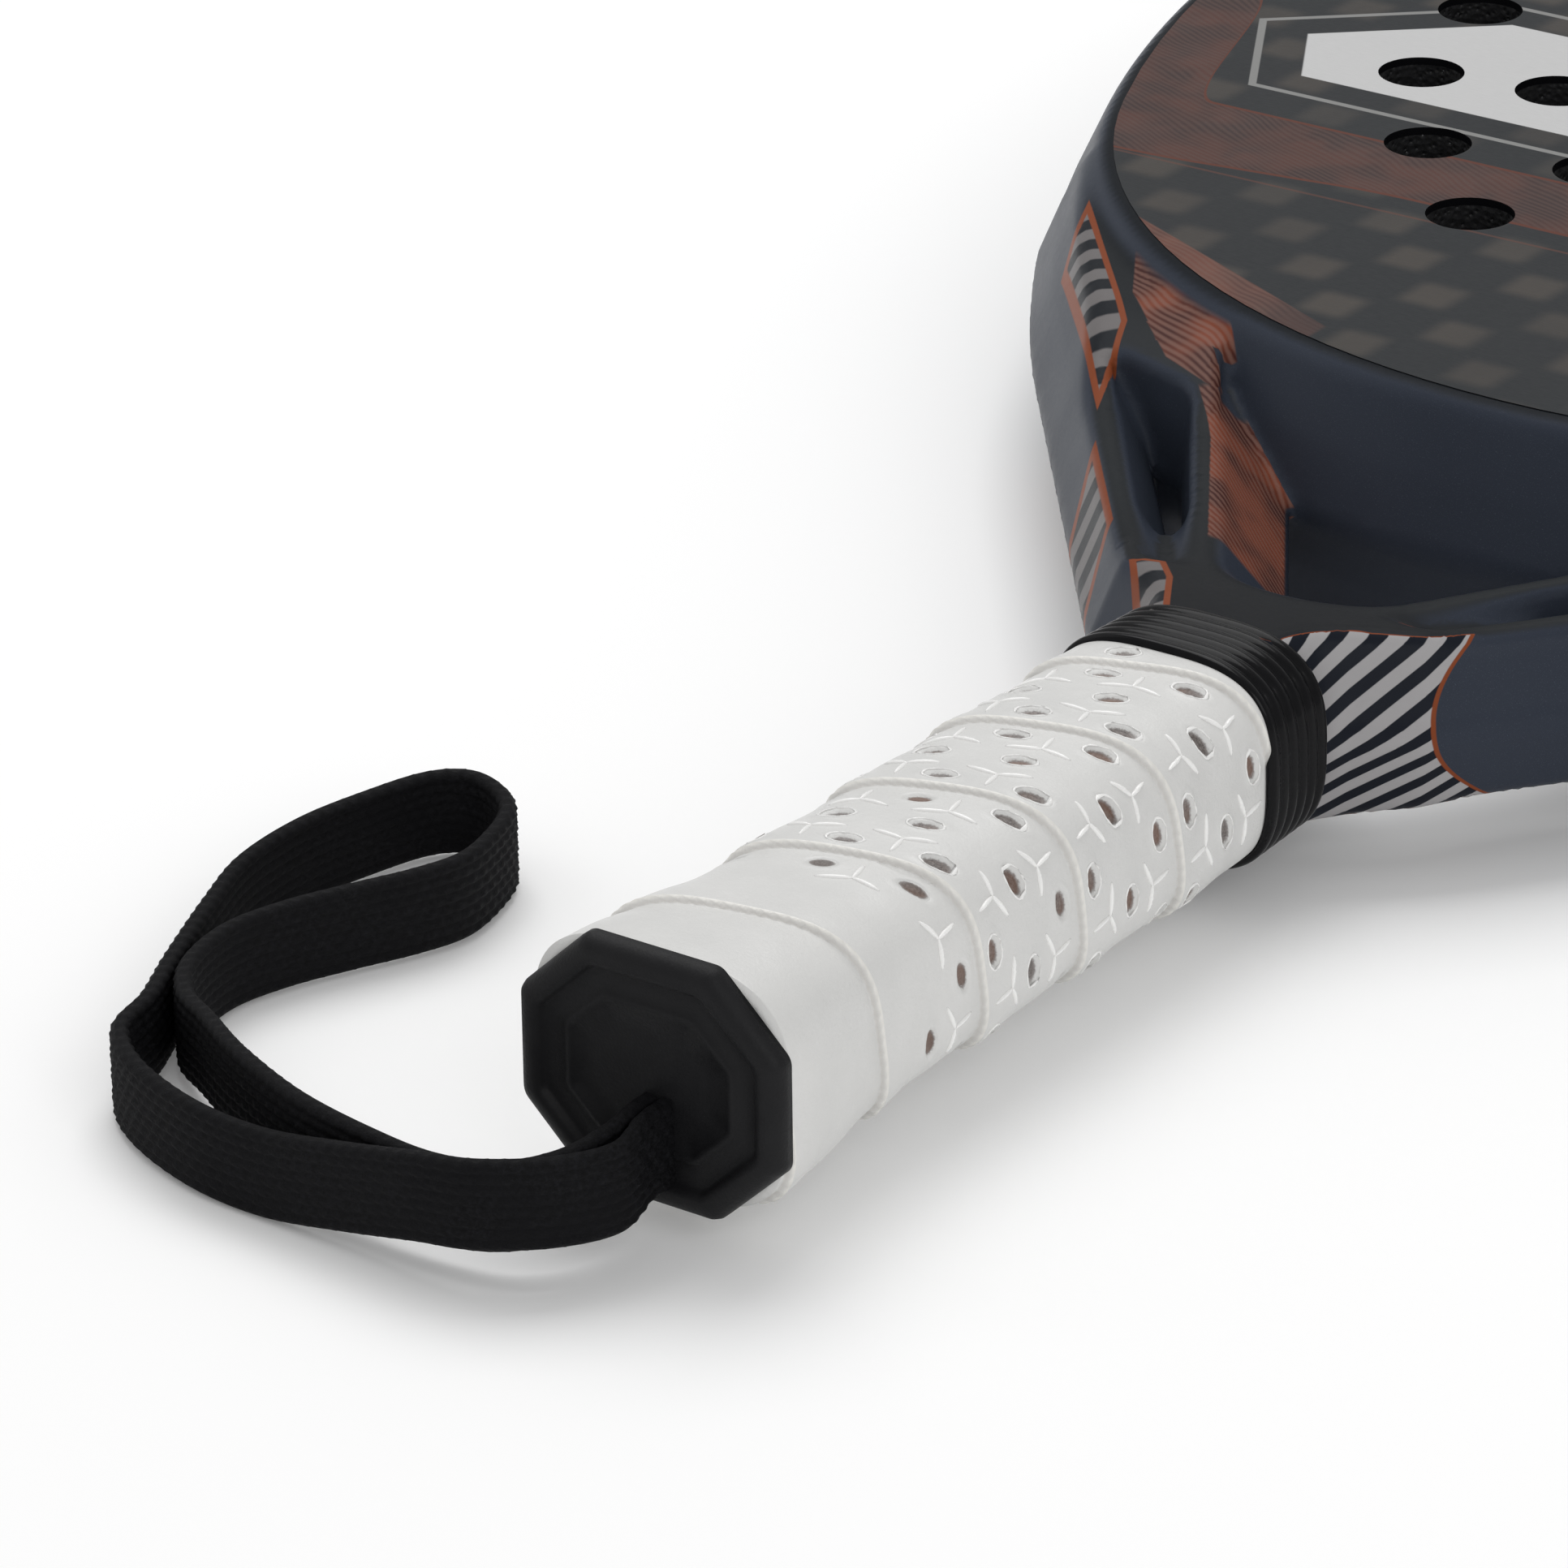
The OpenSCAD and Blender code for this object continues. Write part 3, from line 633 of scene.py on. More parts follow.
def wire_frame(net):
    place = net.place_mm()
    side, _, height = net.parts(place)
    fold = net.folded(place)
    _, y, z = net.parts(fold)
    flatness = net.step(net.facing(), 0.78, 0.97)
    flake = net.noise(place, 7.0, 2.0, 0.8)
    cloud = net.noise(place, 0.02, 2.0, 0.5)
    wall = net.mix(cloud, (0.022, 0.027, 0.040), (0.044, 0.052, 0.070))
    wall = net.mix(net.step(flake, 0.58, 0.78), wall, (0.07, 0.082, 0.104))
    # painted shade: the walls on the left of the racket are painted darker
    shaded_left_side = net.step(net.plane(place, (0.785, 0.62, 0)), 60.0, 52.0)
    wall = net.mix(net.times(shaded_left_side, 0.75), wall, (0.008, 0.009, 0.011))
    top = net.mix(cloud, (0.014, 0.016, 0.018), (0.020, 0.023, 0.026))
    top = net.mix(net.step(y, 150, 118), top, (0.010, 0.011, 0.013))
    # painted shade: the rim band at the face level is painted darker for its sloping bevel
    top = net.mix(net.step(z, 15.5, 17.5), top, (0.004, 0.006, 0.009))
    colour = net.mix(flatness, wall, top)
    hatch = use_group(net, HATCH, Place=place)

    stripes = net.mix(net.bars(net.plane(fold, (0.585, 0.811, 0)), 7.2), PRINT_DARK, PRINT_GREY)
    for corners in (SHOULDER_PANEL, STRUT_PANEL, NECK_PANEL):
        d = net.inside(place, [(-a, b) for a, b in corners])
        colour = net.mix(net.step(d, -0.9, -0.75), colour, ORANGE)
        colour = net.mix(net.step(d, -0.1, 0.1), colour, stripes)

    copper = net.most(net.inside(fold, COPPER_UPPER), net.inside(fold, COPPER_LOWER))
    copper = net.times(net.step(copper, -0.15, 0.15), net.step(z, 17.6, 16.6))
    c, q = math.cos(MID_A), math.sin(MID_A)
    out = net.plane(fold, (c, q, 0), float(MID_C @ np.array((c, q))))
    along = net.plane(fold, (-q, c, 0), float(MID_C @ np.array((-q, c))))
    up = net.minus(1, net.over(net.minus(MID_R, out), MID_LEAN))
    bevel = net.step(net.size(net.minus(z, net.times(up, YOKE_HZ))), 1.6, 1.3)
    bevel = net.times(bevel, net.step(z, 0.4, 0.8))
    bevel = net.times(bevel, net.step(net.size(net.minus(along, 26)), 22.5, 21.0))
    bevel = net.times(bevel, net.step(side, 1.0, -1.0))
    copper = net.most(copper, bevel)
    colour = net.mix(copper, colour, hatch["Colour"])

    reach = net.plane(place, ARM_ALONG)
    slant = net.plane(net.vector(reach, height, 0.0), (WIDE_LEAN, 1.0, 0))
    wide = net.mix(net.bars(slant, WIDE_PITCH, 0.52, 0.02), (0.010, 0.012, 0.018), (0.36, 0.35, 0.355))
    bow = net.math("POWER", net.over(net.size(net.plus(height, -1.0)), 12.5), 2.0)
    limit_far = net.minus(net.times_plus(bow, 10.5, 113.2), reach)
    sidewall = net.least(limit_far, net.minus(reach, PANEL_NEAR))
    sidewall = net.least(sidewall, net.minus(PANEL_TOP, z))
    sidewall = net.least(sidewall, net.minus(net.times(net.minus(1, flatness), 3.0), 1.0))
    outer = net.step(net.plane(place, ARM_OUT), -69.0, -67.0)
    sidewall = net.times_plus(outer, 20.0, net.minus(sidewall, 20.0))
    colour = net.mix(net.step(sidewall, -0.1, 0.1), colour, ORANGE)
    colour = net.mix(net.step(sidewall, 0.55, 0.75), colour, wide)

    grain = use_group(net, GRAIN, Place=place, Scale=1.2, Roughness=0.36, Spread=0.1)
    relief = net.times_plus(net.times(hatch["Height"], copper), 0.4, flake)
    return colour, net.times_plus(flatness, 0.12, grain["Roughness"]), net.bump(relief, 0.00004, 0.35)


frame_lacquer = finish_of("satin frame lacquer", wire_frame, Metallic=0.02, Specular_IOR_Level=0.06,
                          Coat_Weight=0.02, Coat_Roughness=0.18)


def make_frame(material):
    step = 1.3
    verts, faces = skin_of(frame_field, (-132.6, 110.5, -20.15), (132.6, 457.5, 20.15), step)
    return new_piece("frame_shell", verts, faces, [material])


shell = make_frame(frame_lacquer)
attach(shell, "root")
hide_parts("head_rim", "throat_yoke")


# ---------------------------------------------------------------- grip

TAPE_END, PITCH, LAP = 102.0, 20.5, 0.75
TAPE_A, TAPE_B = 15.1, 12.8  # half width and half height under the laps
AROUND = 2 * (TAPE_A + TAPE_B) * 1.62
# holes step along the winding: one in mid width, then a pair near its two edges
HOLE_STEP, EDGE_ROW, FIRST_HOLE, LAST_HOLE = 5.6, 0.14, 30.0, 99.5
HOLE_LONG, HOLE_WIDE, HOLE_COUNT = 1.8, 1.1, 84
# three arms of a ridge: direction in degrees and distance of the arm's middle in millimetres
RIDGE_ARMS, RIDGE_ROW = ((15, 2.1), (165, 2.1), (270, 1.7)), 0.27


def flare(y):
    return np.where(y > 32, 0.0, (1 + np.cos(math.pi * (np.clip(y, GRIP_Y, 32) - GRIP_Y) / (32 - GRIP_Y))) / 2)


def even_angles(a, b, count):
    """Angles that step evenly along the outline of the section."""
    fine = np.linspace(0, 2 * math.pi, 7201)
    x, z = squircle(a, b, fine)
    run = np.concatenate(([0], np.cumsum(np.hypot(np.diff(x), np.diff(z)))))
    return np.interp((np.arange(count) + 0.5) / count * run[-1], run, fine)


def hole_depth(turn, y):
    """Pressed pits of the tape: a bowl inside, a low swelling round its mouth."""
    depth = np.zeros(turn.shape)
    lean = PITCH / AROUND
    for index in range(HOLE_COUNT):
        run = index * HOLE_STEP / AROUND
        for share in ((0.5,) if index % 2 else (EDGE_ROW, 1 - EDGE_ROW)):
            height = (run + share) * PITCH
            if not FIRST_HOLE < height < LAST_HOLE:
                continue
            rows = np.nonzero(np.abs(y[:, 0] - height) < 3.4)[0]
            part = slice(rows[0], rows[-1] + 1)
            around = ((turn[part] - run % 1 + 0.5) % 1 - 0.5) * AROUND
            across = y[part] - height - lean * around
            r = np.hypot(around / HOLE_LONG, across / HOLE_WIDE)
            bowl = np.clip((1.14 - r) / 0.4, 0, 1)
            depth[part] -= 0.5 * bowl * bowl * (3 - 2 * bowl)
            depth[part] += 0.1 * np.exp(-((r - 1.4) / 0.26) ** 2)
    return depth


def tape_section(y, grow, bend):
    """Section of the winding at y, flared towards the butt."""
    f = flare(y)
    return squircle(TAPE_A + 2.1 * f + grow, TAPE_B + 1.9 * f + grow, bend)


def make_grip(material):
    """The wound tape: each turn laps a step over the one before, with a rolled edge."""
    cols, rows = ((236, 300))
    bend = -even_angles(TAPE_A, TAPE_B, cols)
    sx, sz = squircle(TAPE_A, TAPE_B, bend)
    turn = (-np.arctan2(sz, sx) / (2 * math.pi)) % 1
    y = np.linspace(GRIP_Y, TAPE_END, rows)
    turns, heights = np.broadcast_arrays(turn[None, :], y[:, None])
    phase = (heights / PITCH - turns) % 1
    lap = LAP * np.interp(phase, (0, 0.017, 0.1, 0.4, 0.75, 1.0), (0, 1, 0.95, 0.6, 0.25, 0))
    lap = lap + 0.1 * np.exp(-((phase - 0.022) / 0.009) ** 2) + hole_depth(turns, heights)
    sag = 0.12 * np.sin(2 * math.pi * (3 * turns + heights / 31)) * np.sin(2 * math.pi * heights / 17)
    dx, dz = tape_section(y[:, None], lap + sag, bend[None, :])
    rings = [ring_at(dx, heights, dz).reshape(-1, 3)]
    for yy, s in ((y[-1], 0.93), (y[0], 0.9)):
        ix, iz = (s * side for side in tape_section(yy, 0.0, bend))
        rings.append(ring_at(ix, yy, iz))
    faces = grid_faces(rows + 2, cols, looped=True)
    v = np.concatenate((y, [y[-1], y[0]]))
    piece = new_piece("grip_wrap", np.vstack(rings), faces, [material],
                      uv=grid_uv(cols, turn * AROUND, v, AROUND))
    flip_if_inside_out(piece)
    return piece


class Maker(Net):
    """Short calls for building the geometry tree of one repeated detail."""

    def __init__(self, name):
        super().__init__(bpy.data.node_groups.new(name, "GeometryNodeTree"))
        self.ids = {}

    def opening(self, label, kind):
        socket = self.tree.interface.new_socket(name=label, in_out="INPUT", socket_type=kind)
        self.ids[label] = socket.identifier

    def made(self, kind, settings=(), **values):
        return self.add(kind, settings, **values).outputs[0]

    def join(self, *parts):
        node = self.add("GeometryNodeJoinGeometry")
        for part in parts[::-1]:
            self.tree.links.new(part, node.inputs[0])
        return node.outputs[0]

    def moved(self, geometry, shift=(0, 0, 0), turn=(0, 0, 0), size=(1, 1, 1)):
        return self.made("GeometryNodeTransform", Geometry=geometry, Translation=shift, Scale=size, Rotation=turn)

    def smooth(self, geometry):
        return self.made("GeometryNodeSetShadeSmooth", Geometry=geometry, Shade_Smooth=True)


def perforation_tree():
    """Bead rims round the pits and three-armed ridges between them, laid on the tape."""
    m = Maker("perforated winding")
    m.tree.interface.new_socket(name="Geometry", in_out="OUTPUT", socket_type="NodeSocketGeometry")
    for label, kind in (("Geometry", "Geometry"), ("Count", "Int"), ("Spacing", "Float"), ("Pitch", "Float"),
                        ("Around", "Float"), ("First", "Float"), ("Last", "Float"), ("Ridge", "Material")):
        m.opening(label, "NodeSocket" + kind)
    give = m.add("NodeGroupInput").outputs
    end = m.add("NodeGroupOutput")
    mm = 0.001

    def kept(geometry):
        """Sets the material and keeps each point's height over the surface."""
        own = m.parts(m.made("GeometryNodeInputPosition"))[2]
        tall = m.made("GeometryNodeStoreNamedAttribute", {"data_type": "FLOAT", "domain": "POINT"},
                      Geometry=geometry, Name="lift", Value=own)
        return m.made("GeometryNodeSetMaterial", Geometry=tall, Material=give["Ridge"])

    hoop = m.made("GeometryNodeCurvePrimitiveCircle", {"mode": "RADIUS"}, Radius=1.0 * mm, Resolution=22)
    tube = m.made("GeometryNodeCurvePrimitiveCircle", {"mode": "RADIUS"}, Radius=0.17 * mm, Resolution=6)
    lip = m.made("GeometryNodeCurveToMesh", Curve=hoop, Profile_Curve=tube)
    lip = kept(m.smooth(m.moved(lip, size=(HOLE_LONG * 1.16, HOLE_WIDE * 1.2, 0.8))))
    arms = []
    for angle, reach in RIDGE_ARMS:
        bead = m.smooth(m.made("GeometryNodeMeshUVSphere", Segments=20, Rings=6, Radius=1.0 * mm))
        turn = math.radians(angle)
        place = (reach * math.cos(turn) * mm, reach * math.sin(turn) * mm, 0.0)
        arms.append(m.moved(bead, place, (0, 0, turn), (reach * 1.12, 0.36, 0.32)))
    ridge = kept(m.join(*arms))

    index = m.made("GeometryNodeInputIndex")

    def row(kind, ahead, share, way):
        """One row of details, sent in from outside onto the winding."""
        turns = m.over(m.times(m.plus(m.times(index, 2.0), ahead), give["Spacing"]), give["Around"])
        angle = m.times(m.math("FRACT", turns), -2 * math.pi)
        cos, sin = m.math("COSINE", angle), m.math("SINE", angle)
        rise = m.times(m.plus(turns, share), give["Pitch"])
        height = m.times(m.minus(rise, TOTAL_LEN / 2 + BUTT_Y), mm)
        far = m.vector(m.times(cos, 0.04), height, m.plus(m.times(sin, 0.04), THICK / 2 * mm))
        back = m.vector(m.times(cos, -1.0), 0.0, m.times(sin, -1.0))
        line = m.made("GeometryNodeMeshLine", Count=give["Count"])
        line = m.made("GeometryNodeSetPosition", Geometry=line, Position=far)
        ray = m.add("GeometryNodeRaycast", Target_Geometry=give["Geometry"], Ray_Direction=back, Ray_Length=0.1,
                    Source_Position=m.made("GeometryNodeInputPosition")).outputs
        keep = m.times(m.math("GREATER_THAN", rise, give["First"]), m.math("LESS_THAN", rise, give["Last"]))
        aim = m.made("FunctionNodeAlignRotationToVector", {"axis": "Z"}, Vector=ray["Hit Normal"])
        ahead_way = m.vector(m.times(sin, -0.22 * way), float(way), m.times(cos, 0.22 * way))
        lean = m.made("FunctionNodeAlignRotationToVector", {"axis": "Y", "pivot_axis": "Z"},
                      Rotation=aim, Vector=ahead_way)
        over = m.vec("SCALE", ray["Hit Normal"], scale=2.0 * mm)[0]
        clear = m.vec("ADD", ray["Hit Position"], over)[0]
        points = m.made("GeometryNodeSetPosition", Geometry=line, Position=clear)
        return m.made("GeometryNodeInstanceOnPoints", Points=points, Selection=keep, Instance=kind, Rotation=lean)

    rows = [row(lip, 0.0, EDGE_ROW, 1), row(lip, 1.0, 0.5, 1), row(lip, 0.0, 1 - EDGE_ROW, 1),
            row(ridge, 1.0, RIDGE_ROW, 1), row(ridge, 1.0, 1 - RIDGE_ROW, -1)]
    laid = m.made("GeometryNodeRealizeInstances", Geometry=m.join(*rows))
    here = m.made("GeometryNodeInputPosition")
    touch = m.add("GeometryNodeProximity", {"target_element": "FACES"})
    m.feed(touch.inputs[0], give["Geometry"])
    m.feed(touch.inputs["Sample Position" if "Sample Position" in touch.inputs else "Source Position"], here)
    normal = m.made("GeometryNodeSampleNearestSurface", {"data_type": "FLOAT_VECTOR"}, Mesh=give["Geometry"],
                    Value=m.made("GeometryNodeInputNormal"), Sample_Position=here)
    lift = m.made("GeometryNodeInputNamedAttribute", {"data_type": "FLOAT"}, Name="lift")
    seat = m.vec("ADD", touch.outputs["Position"], m.vec("SCALE", normal, scale=lift)[0])[0]
    laid = m.made("GeometryNodeSetPosition", Geometry=laid, Position=seat)
    m.feed(end.inputs[0], m.join(give["Geometry"], laid))
    return m


def press_pattern(piece, ridge):
    """The piece again with the tree's result as its own plain mesh."""
    m = perforation_tree()
    modifier = piece.modifiers.new("pattern", "NODES")
    modifier.node_group = m.tree
    for label, value in (("Count", HOLE_COUNT // 2), ("Spacing", HOLE_STEP), ("Pitch", PITCH),
                         ("Around", float(AROUND)), ("First", FIRST_HOLE), ("Last", LAST_HOLE), ("Ridge", ridge)):
        modifier[m.ids[label]] = value
    bpy.context.view_layer.update()
    seen = piece.evaluated_get(bpy.context.evaluated_depsgraph_get())
    mesh = bpy.data.meshes.new_from_object(seen)
    mesh.name = piece.data.name
    piece.modifiers.remove(modifier)
    piece.data = mesh
    return piece


def wire_grip(net):
    place = net.place_mm()
    u, v, _ = net.parts(net.add("ShaderNodeUVMap", {"uv_map": "run"}).outputs[0])
    wound = net.minus(net.over(v, PITCH), net.over(u, AROUND))
    phase = net.math("FRACT", wound)
    seam = net.step(net.size(net.minus(phase, 0.022)), 0.016, 0.003)
    # painted shadow in the crease at the foot of each lap step
    lap_crease_shade = net.most(net.step(phase, 0.02, 0.0, 0.0, 1.0), net.step(phase, 0.985, 1.0, 0.0, 0.7))
    colour = net.mix(net.noise(place, 0.09, 3.0, 0.6), (0.63, 0.63, 0.617), (0.73, 0.725, 0.71))
    # painted highlight: the seam line along the rolled edge of each lap is painted lighter
    colour = net.mix(net.times(seam, 0.7), colour, (0.86, 0.84, 0.79))
    colour = net.mix(net.times(lap_crease_shade, 0.35), colour, (0.46, 0.42, 0.37))

    # the pits, found again from the run along the winding
    step = net.over(net.times_plus(net.math("FLOOR", wound), AROUND, u), HOLE_STEP)
    near = net.math("ROUND", step)
    odd = net.size(net.math("MODULO", near, 2.0))
    middle = net.size(net.minus(phase, 0.5))
    edge = net.minus(middle, 0.5 - EDGE_ROW)
    across = net.times(net.times_plus(odd, net.minus(middle, edge), edge), PITCH / HOLE_WIDE)
    r = net.reach(net.times(net.minus(step, near), HOLE_STEP / HOLE_LONG), across)
    ragged = net.times_plus(net.noise(place, 2.0, 3.0, 0.7), 0.3, r)
    side = net.times(net.math("SIGN", net.minus(phase, 0.5)), 0.5 - EDGE_ROW)
    share = net.times_plus(net.minus(1, odd), side, 0.5)
    centre = net.times_plus(near, HOLE_STEP / AROUND, share)
    pit = net.times(net.step(ragged, 1.12, 0.96), net.math("GREATER_THAN", centre, FIRST_HOLE / PITCH))
    pit = net.times(pit, net.math("LESS_THAN", centre, LAST_HOLE / PITCH))
    bare = net.step(net.noise(place, 0.07, 2.0), 0.42, 0.58)
    inside = net.step(net.noise(place, 3.2, 4.0, 0.8), 0.3, 0.7)
    inside = net.mix(inside, (0.05, 0.038, 0.034), (0.24, 0.21, 0.195))
    inside = net.mix(net.times(bare, 0.6), inside, (0.17, 0.072, 0.036))
    inside = net.mix(net.step(ragged, 0.75, 1.1), inside, (0.3, 0.28, 0.27))

    grain = use_group(net, GRAIN, Place=place, Scale=2.4, Roughness=0.42, Spread=0.14)
    relief = net.times_plus(net.noise(place, 0.22, 3.0, 0.6), 2.0, grain["Height"])
    rough = net.times_plus(seam, -0.08, grain["Roughness"])
    return net.mix(pit, colour, inside), rough, net.bump(relief, 0.00022, 0.35)


def wire_ridge(net):
    place = net.place_mm()
    # the ridges are whiter than the tape: partly their own paler tone, partly a painted highlight on their raised
    # crowns
    colour = net.mix(net.noise(place, 0.4, 3.0, 0.6), (0.86, 0.855, 0.84), (0.94, 0.935, 0.92))
    grain = use_group(net, GRAIN, Place=place, Scale=2.4, Roughness=0.26, Spread=0.12)
    return colour, grain["Roughness"], net.bump(grain["Height"], 0.00008, 0.3)


def wire_felt(net):
    fibre = net.noise(net.place_mm(), 3.2, 4.0, 0.8)
    colour = net.mix(net.step(fibre, 0.3, 0.7), (0.045, 0.035, 0.032), (0.26, 0.235, 0.225))
    return colour, net.step(fibre, 0.2, 0.8, 0.8, 0.98), net.bump(fibre, 0.0003, 0.8)


felt = finish_of("grip cushion", wire_felt)
grip_leather = finish_of("perforated white grip", wire_grip, Coat_Weight=0.15, Coat_Roughness=0.3)
grip_ridge = finish_of("raised grip ridges", wire_ridge, Coat_Weight=0.3, Coat_Roughness=0.15)
grip = press_pattern(make_grip(grip_leather), grip_ridge)
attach(grip, "root")
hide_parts("grip_tape")


# ---------------------------------------------------------------- collar

COLLAR_LEN, RIBS = 13.0, 6


def make_collar(material):
    cols, rows = 160, 97
    turn = -2 * math.pi * (np.arange(cols) + 0.5) / cols
    s = np.linspace(0, 1, rows)
    bulge = 0.4 * np.abs(np.sin(math.pi * s * RIBS)) - 0.2
    ends = -0.5 * np.clip(1 - np.minimum(s, 1 - s) / 0.05, 0, 1) ** 2
    a, b = 16.1 - 0.3 * s + bulge + ends, 14.1 - 0.5 * s + bulge + ends
    y = TAPE_END + COLLAR_LEN * s
    dx, dz = squircle(a[:, None], b[:, None], turn[None, :], 2.9)
    rings = [ring_at(dx, y[:, None], dz).reshape(-1, 3)]
    for yy, aa, bb in ((y[-1], 14.6, 11.6), (112.0, 15.35, 13.05), (y[0], 15.35, 13.05)):
        ix, iz = squircle(aa, bb, turn)
        rings.append(ring_at(ix, yy, iz))
    faces = grid_faces(len(rings) - 1 + rows, cols, looped=True)
    piece = new_piece("collar_ring", np.vstack(rings), faces, [material])
    flip_if_inside_out(piece)
    return piece


def wire_rubber(net):
    grain = use_group(net, GRAIN, Place=net.place_mm(), Scale=0.9, Roughness=0.24, Spread=0.12)
    colour = net.mix(grain["Height"], (0.0025, 0.0025, 0.003), (0.006, 0.006, 0.007))
    return colour, grain["Roughness"], net.bump(grain["Height"], 0.0001, 0.25)


rubber = finish_of("glossy black rubber", wire_rubber, Specular_IOR_Level=0.08, Coat_Weight=0.1, Coat_Roughness=0.06)
collar = make_collar(rubber)
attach(collar, "root")
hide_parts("collar")


# ---------------------------------------------------------------- butt cap

CAP_W, CAP_H = 36.0, 31.0


def bevelled(w, h, cx, cy):
    """Corners of a rectangle with its corners cut, counter-clockwise in x and z."""
    return np.array(((w / 2, -h / 2 + cy), (w / 2, h / 2 - cy), (w / 2 - cx, h / 2), (-w / 2 + cx, h / 2),
                     (-w / 2, h / 2 - cy), (-w / 2, -h / 2 + cy), (-w / 2 + cx, -h / 2), (w / 2 - cx, -h / 2)))


def soft_corners(corners, radius, fine=8):
    out = []
    n = len(corners)
    for k in range(n):
        p, a, b = corners[k], corners[k - 1], corners[(k + 1) % n]
        u, v = (a - p) / np.linalg.norm(a - p), (b - p) / np.linalg.norm(b - p)
        half = math.acos(float(u @ v)) / 2
        reach = radius / math.tan(half)
        for t in np.linspace(0, 1, fine):
            start, end = p + u * reach, p + v * reach
            out.append((1 - t) ** 2 * start + 2 * t * (1 - t) * p + t ** 2 * end)
    return np.array(out)


# inset from the flange's outline and depth behind the butt face, from the flange's back to its middle
CAP_PROFILE = [(0.0, 3.0), (0.0, 1.9), (0.25, 1.1), (0.75, 0.5), (1.5, 0.12), (2.3, 0.0), (2.9, 0.12), (3.3, 0.5),
               (3.45, 0.95), (3.8, 1.1), (6.3, 1.1), (6.5, 0.78), (7.3, 0.78), (7.5, 1.1), (10.5, 1.1)]


def cap_ring(inset, y, cut, radius):
    """Octagon loop: cut is its corner cut in width, the cut in height is 0.4 mm less."""
    corners = bevelled(CAP_W - 2 * inset, CAP_H - 2 * inset, cut, cut - 0.4)
    loop = soft_corners(corners, radius)
    return ring_at(loop[:, 0], y + BUTT_Y, loop[:, 1])


def make_cap(material):
    """Flange with a rounded raised border round a sunken face that bears a low ridge."""
    rings = [cap_ring(2.0, 3.0, 8.0, 2.0)]
    rings += [cap_ring(inset, y, 9.2 - 0.58 * inset, 2.2 - 0.08 * inset) for inset, y in CAP_PROFILE]
    cols = len(rings[0])
    faces = grid_faces(len(rings), cols)
    faces.append(list(range(cols))[::-1])
    faces.append([(len(rings) - 1) * cols + k for k in range(cols)])
    piece = new_piece("butt_cap_shell", np.vstack(rings), faces, [material])
    flip_if_inside_out(piece)
    return piece


def wire_cap(net):
    place = net.place_mm()
    grain = use_group(net, GRAIN, Place=place, Scale=2.6, Roughness=0.55, Spread=0.2)
    colour = net.mix(net.noise(place, 0.3, 3.0), (0.005, 0.005, 0.006), (0.010, 0.010, 0.011))
    return colour, grain["Roughness"], net.bump(grain["Height"], 0.00012, 0.5)


cap_plastic = finish_of("moulded cap", wire_cap, Specular_IOR_Level=0.2)
cap = make_cap(cap_plastic)
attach(cap, "root")
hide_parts("butt_cap")


# ---------------------------------------------------------------- faces and hidden pieces

LIGHT_PANEL = [(83.7, 266.1), (-83.7, 266.1), (-92.0, 281.0), (-70.0, 300.0), (70.0, 300.0), (92.0, 281.0)]
UPPER_PANEL = [(-66.0, 318.0), (66.0, 318.0), (40.0, 352.0), (-40.0, 352.0)]


WEAVE_X, WEAVE_Y = 9.35, 9.8
# the copper sickle at the heel: middle and radius of its outer arc, then its belly and near end
SICKLE_Y, SICKLE_R = 288.6, 109.7
BELLY_X, BELLY_HALF, BELLY_DEEP, SICKLE_END = 44.0, 33.0, 6.4, 31.0


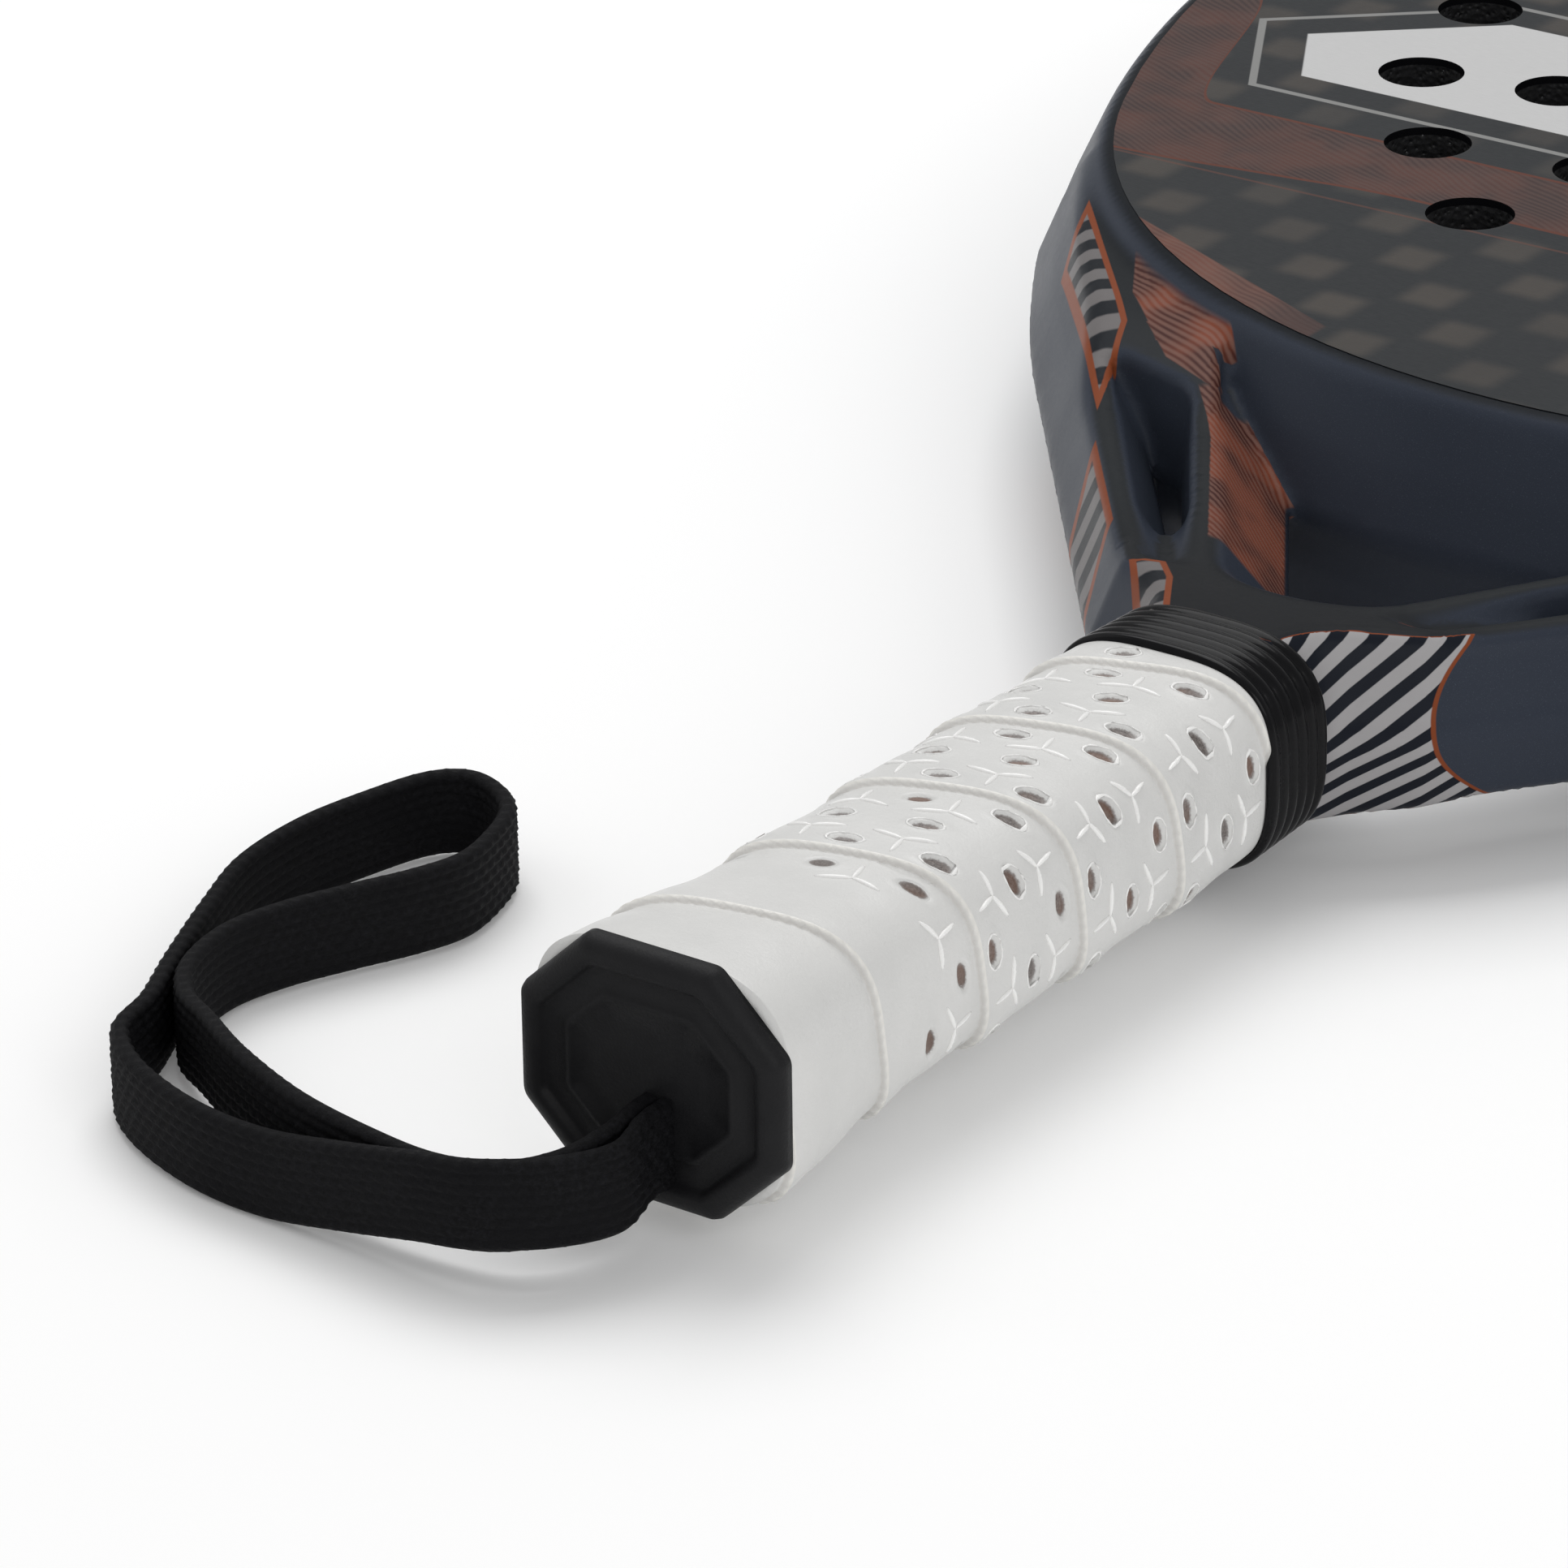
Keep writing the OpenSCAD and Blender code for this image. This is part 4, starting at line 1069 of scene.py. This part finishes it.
def wire_face(net):
    place = net.place_mm()
    x, y, _ = net.parts(place)
    fx = net.parts(net.folded(place))[0]
    u, v = net.over(net.plus(x, 2.0), WEAVE_X), net.over(net.plus(y, -4.9), WEAVE_Y)
    cell = net.plus(net.math("FLOOR", u), net.math("FLOOR", v))
    odd = net.size(net.minus(cell, net.times(net.math("FLOOR", net.over(cell, 2.0)), 2.0)))
    blot = odd
    for w in (u, v):
        blot = net.times(blot, net.step(net.size(net.minus(net.math("FRACT", w), 0.5)), 0.52, 0.2))
    strength = net.step(net.noise(place, 0.018, 2.0), 0.3, 0.6, 0.45, 1.0)
    base = net.mix(net.noise(place, 0.012, 2.0), (0.010, 0.013, 0.016), (0.020, 0.022, 0.024))
    thread = net.noise(net.vector(x, net.times(y, 9.0), 0.0), 0.5, 3.0)
    base = net.mix(net.times(blot, strength), base, (0.058, 0.050, 0.043))
    base = net.mix(net.step(thread, 0.3, 0.8, 0.0, 0.25), base, (0.04, 0.042, 0.045))

    # copper band with its two edge lines
    hatch = use_group(net, HATCH, Place=place)
    sway = net.times(net.noise(place, 0.03, 1.0), 2.0)
    near = net.plus(net.minus(y, net.step(fx, 98, 40, 229.0, 235.0)), sway)
    band = net.least(near, net.minus(net.step(fx, 108, 88, 292.0, 250.5), y))
    dull = net.mix(0.68, hatch["Colour"], (0.030, 0.022, 0.022))
    colour = net.mix(net.step(band, -0.1, 0.2), base, dull)
    rim = net.size(net.minus(band, 0.2))
    colour = net.mix(net.step(rim, 0.45, 0.25), colour, (0.10, 0.028, 0.016))
    line = net.size(net.plus(net.minus(y, 228.6), net.times(fx, 0.01)))
    colour = net.mix(net.step(line, 0.35, 0.2, 0.0, 0.5), colour, (0.12, 0.045, 0.03))

    # copper sickle on the left of the heel
    horn = net.minus(SICKLE_R, net.reach(fx, net.minus(y, SICKLE_Y)))
    bend = net.math("POWER", net.over(net.minus(fx, BELLY_X), BELLY_HALF), 2.0)
    belly = net.minus(BELLY_DEEP, net.times(bend, BELLY_DEEP))
    tail = net.least(net.minus(belly, horn), net.times(net.minus(fx, SICKLE_END), 0.4))
    mask = net.times(net.step(tail, 0.0, 0.35), net.step(net.minus(225.0, y), 0.0, 2.0))
    mask = net.times(mask, net.step(net.times(x, -1.0), 20.0, 24.0))
    mask = net.times(mask, net.step(fx, 34, 46, 0.3, 0.85))
    colour = net.mix(mask, colour, net.mix(0.5, hatch["Colour"], (0.13, 0.060, 0.045)))

    # light panels, the lower one with a thin line round it
    lower = net.inside(place, LIGHT_PANEL)
    ring = net.size(net.plus(lower, 6.6))
    colour = net.mix(net.step(ring, 0.65, 0.45), colour, (0.23, 0.23, 0.225))
    light = net.mix(thread, (0.50, 0.50, 0.50), (0.58, 0.58, 0.58))
    panel = net.most(lower, net.inside(place, UPPER_PANEL))
    colour = net.mix(net.step(panel, -0.15, 0.15), colour, light)
    colour = net.mix(net.step(net.facing(), 0.4, 0.8), (0.004, 0.004, 0.005), colour)
    grain = use_group(net, GRAIN, Place=place, Scale=0.9, Roughness=0.4, Spread=0.12)
    rough = net.times_plus(blot, -0.06, grain["Roughness"])
    return colour, rough, net.bump(net.plus(thread, blot), 0.00003, 0.4)


def wire_plain(colour, rough, scale):
    """A plain moulded finish in one colour, for pieces that hardly show."""
    def wire(net):
        grain = use_group(net, GRAIN, Place=net.place_mm(), Scale=scale, Roughness=rough, Spread=0.2)
        tone = net.mix(grain["Height"], tuple(c * 0.85 for c in colour), tuple(min(1, c * 1.12) for c in colour))
        return tone, grain["Roughness"], net.bump(grain["Height"], 0.0002, 0.5)
    return wire


def wire_foam(net):
    place = net.place_mm()
    cell = net.add("ShaderNodeTexVoronoi", Vector=place, Scale=1.1).outputs["Distance"]
    pick = net.step(net.noise(place, 0.5, 2.0, 0.8), 0.5, 0.62)
    speck = net.times(net.step(cell, 0.16, 0.05), pick)
    colour = net.mix(speck, (0.004, 0.004, 0.005), (0.22, 0.22, 0.23))
    return colour, net.step(cell, 0.0, 0.6, 0.45, 0.9), net.bump(cell, 0.0006, 0.8)


carbon_face = finish_of("carbon face", wire_face, Specular_IOR_Level=0.08, Coat_Weight=0.1, Coat_Roughness=0.14)
foam = finish_of("core foam", wire_foam)
black_tape = finish_of("finishing tape", wire_plain((0.012, 0.012, 0.013), 0.45, 1.0))
bare_shaft = finish_of("bare shaft", wire_plain((0.02, 0.02, 0.022), 0.5, 0.8))

for node, finish in (
    ("face_top", carbon_face), ("face_bottom", carbon_face), ("foam_core", foam), ("handle_foam", foam),
    ("base_grip", felt), ("finishing_tape", black_tape), ("handle_shaft", bare_shaft), ("strap_knot", strap_cloth),
):
    obj = frame["nodes"][node]
    obj.data.materials.clear()
    obj.data.materials.append(finish)


# ---------------------------------------------------------------- studio

FLOOR_HALF, FLOOR_DROP = 6.0, 0.0004
# name, place and aim in metres, size in metres and power in watts
LAMPS = (
    ("key", (-0.5, 0.5, 1.5), (0, 0, 0), (1.2, 1.2), 14),
    ("fill", (1.2, -0.9, 0.9), (0, -0.05, 0), (1.0, 0.8), 6),
    ("rim", (-1.2, -0.4, 0.8), (0, 0, 0), (0.8, 0.8), 1.0),
)


def make_studio():
    mesh = bpy.data.meshes.new("floor")
    s = FLOOR_HALF
    mesh.from_pydata([(-s, -s, 0), (s, -s, 0), (s, s, 0), (-s, s, 0)], [], [(0, 1, 2, 3)])
    floor = put("floor", mesh)
    floor.location.z = -FLOOR_DROP
    paper = finish_of("pale floor", lambda net: (), Base_Color=(0.94, 0.94, 0.94), Roughness=0.9,
                      Specular_IOR_Level=0.0, Emission_Color=(1.0, 1.0, 1.0), Emission_Strength=0.07)
    mesh.materials.append(paper)
    world = bpy.data.worlds.new("studio")
    bpy.context.scene.world = world
    world.use_nodes = True
    world.node_tree.nodes["Background"].inputs["Color"].default_value = (1, 1, 1, 1)
    sky = Net(world.node_tree)
    seen = world.node_tree.nodes.new("ShaderNodeLightPath").outputs
    direct = sky.most(seen["Is Camera Ray"], seen["Is Transmission Ray"])
    sky.feed(world.node_tree.nodes["Background"].inputs["Strength"], sky.step(direct, 0.0, 1.0, 0.5, 1.0))
    for name, place, aim, size, watts in LAMPS:
        lamp = bpy.data.lights.new(name, "AREA")
        lamp.shape = "RECTANGLE"
        lamp.size, lamp.size_y = size
        lamp.energy = watts
        holder = put(name, lamp)
        holder.location = place
        holder.rotation_euler = (Vector(place) - Vector(aim)).to_track_quat("Z", "Y").to_euler()
    bpy.context.scene.view_settings.view_transform = "Standard"


make_studio()
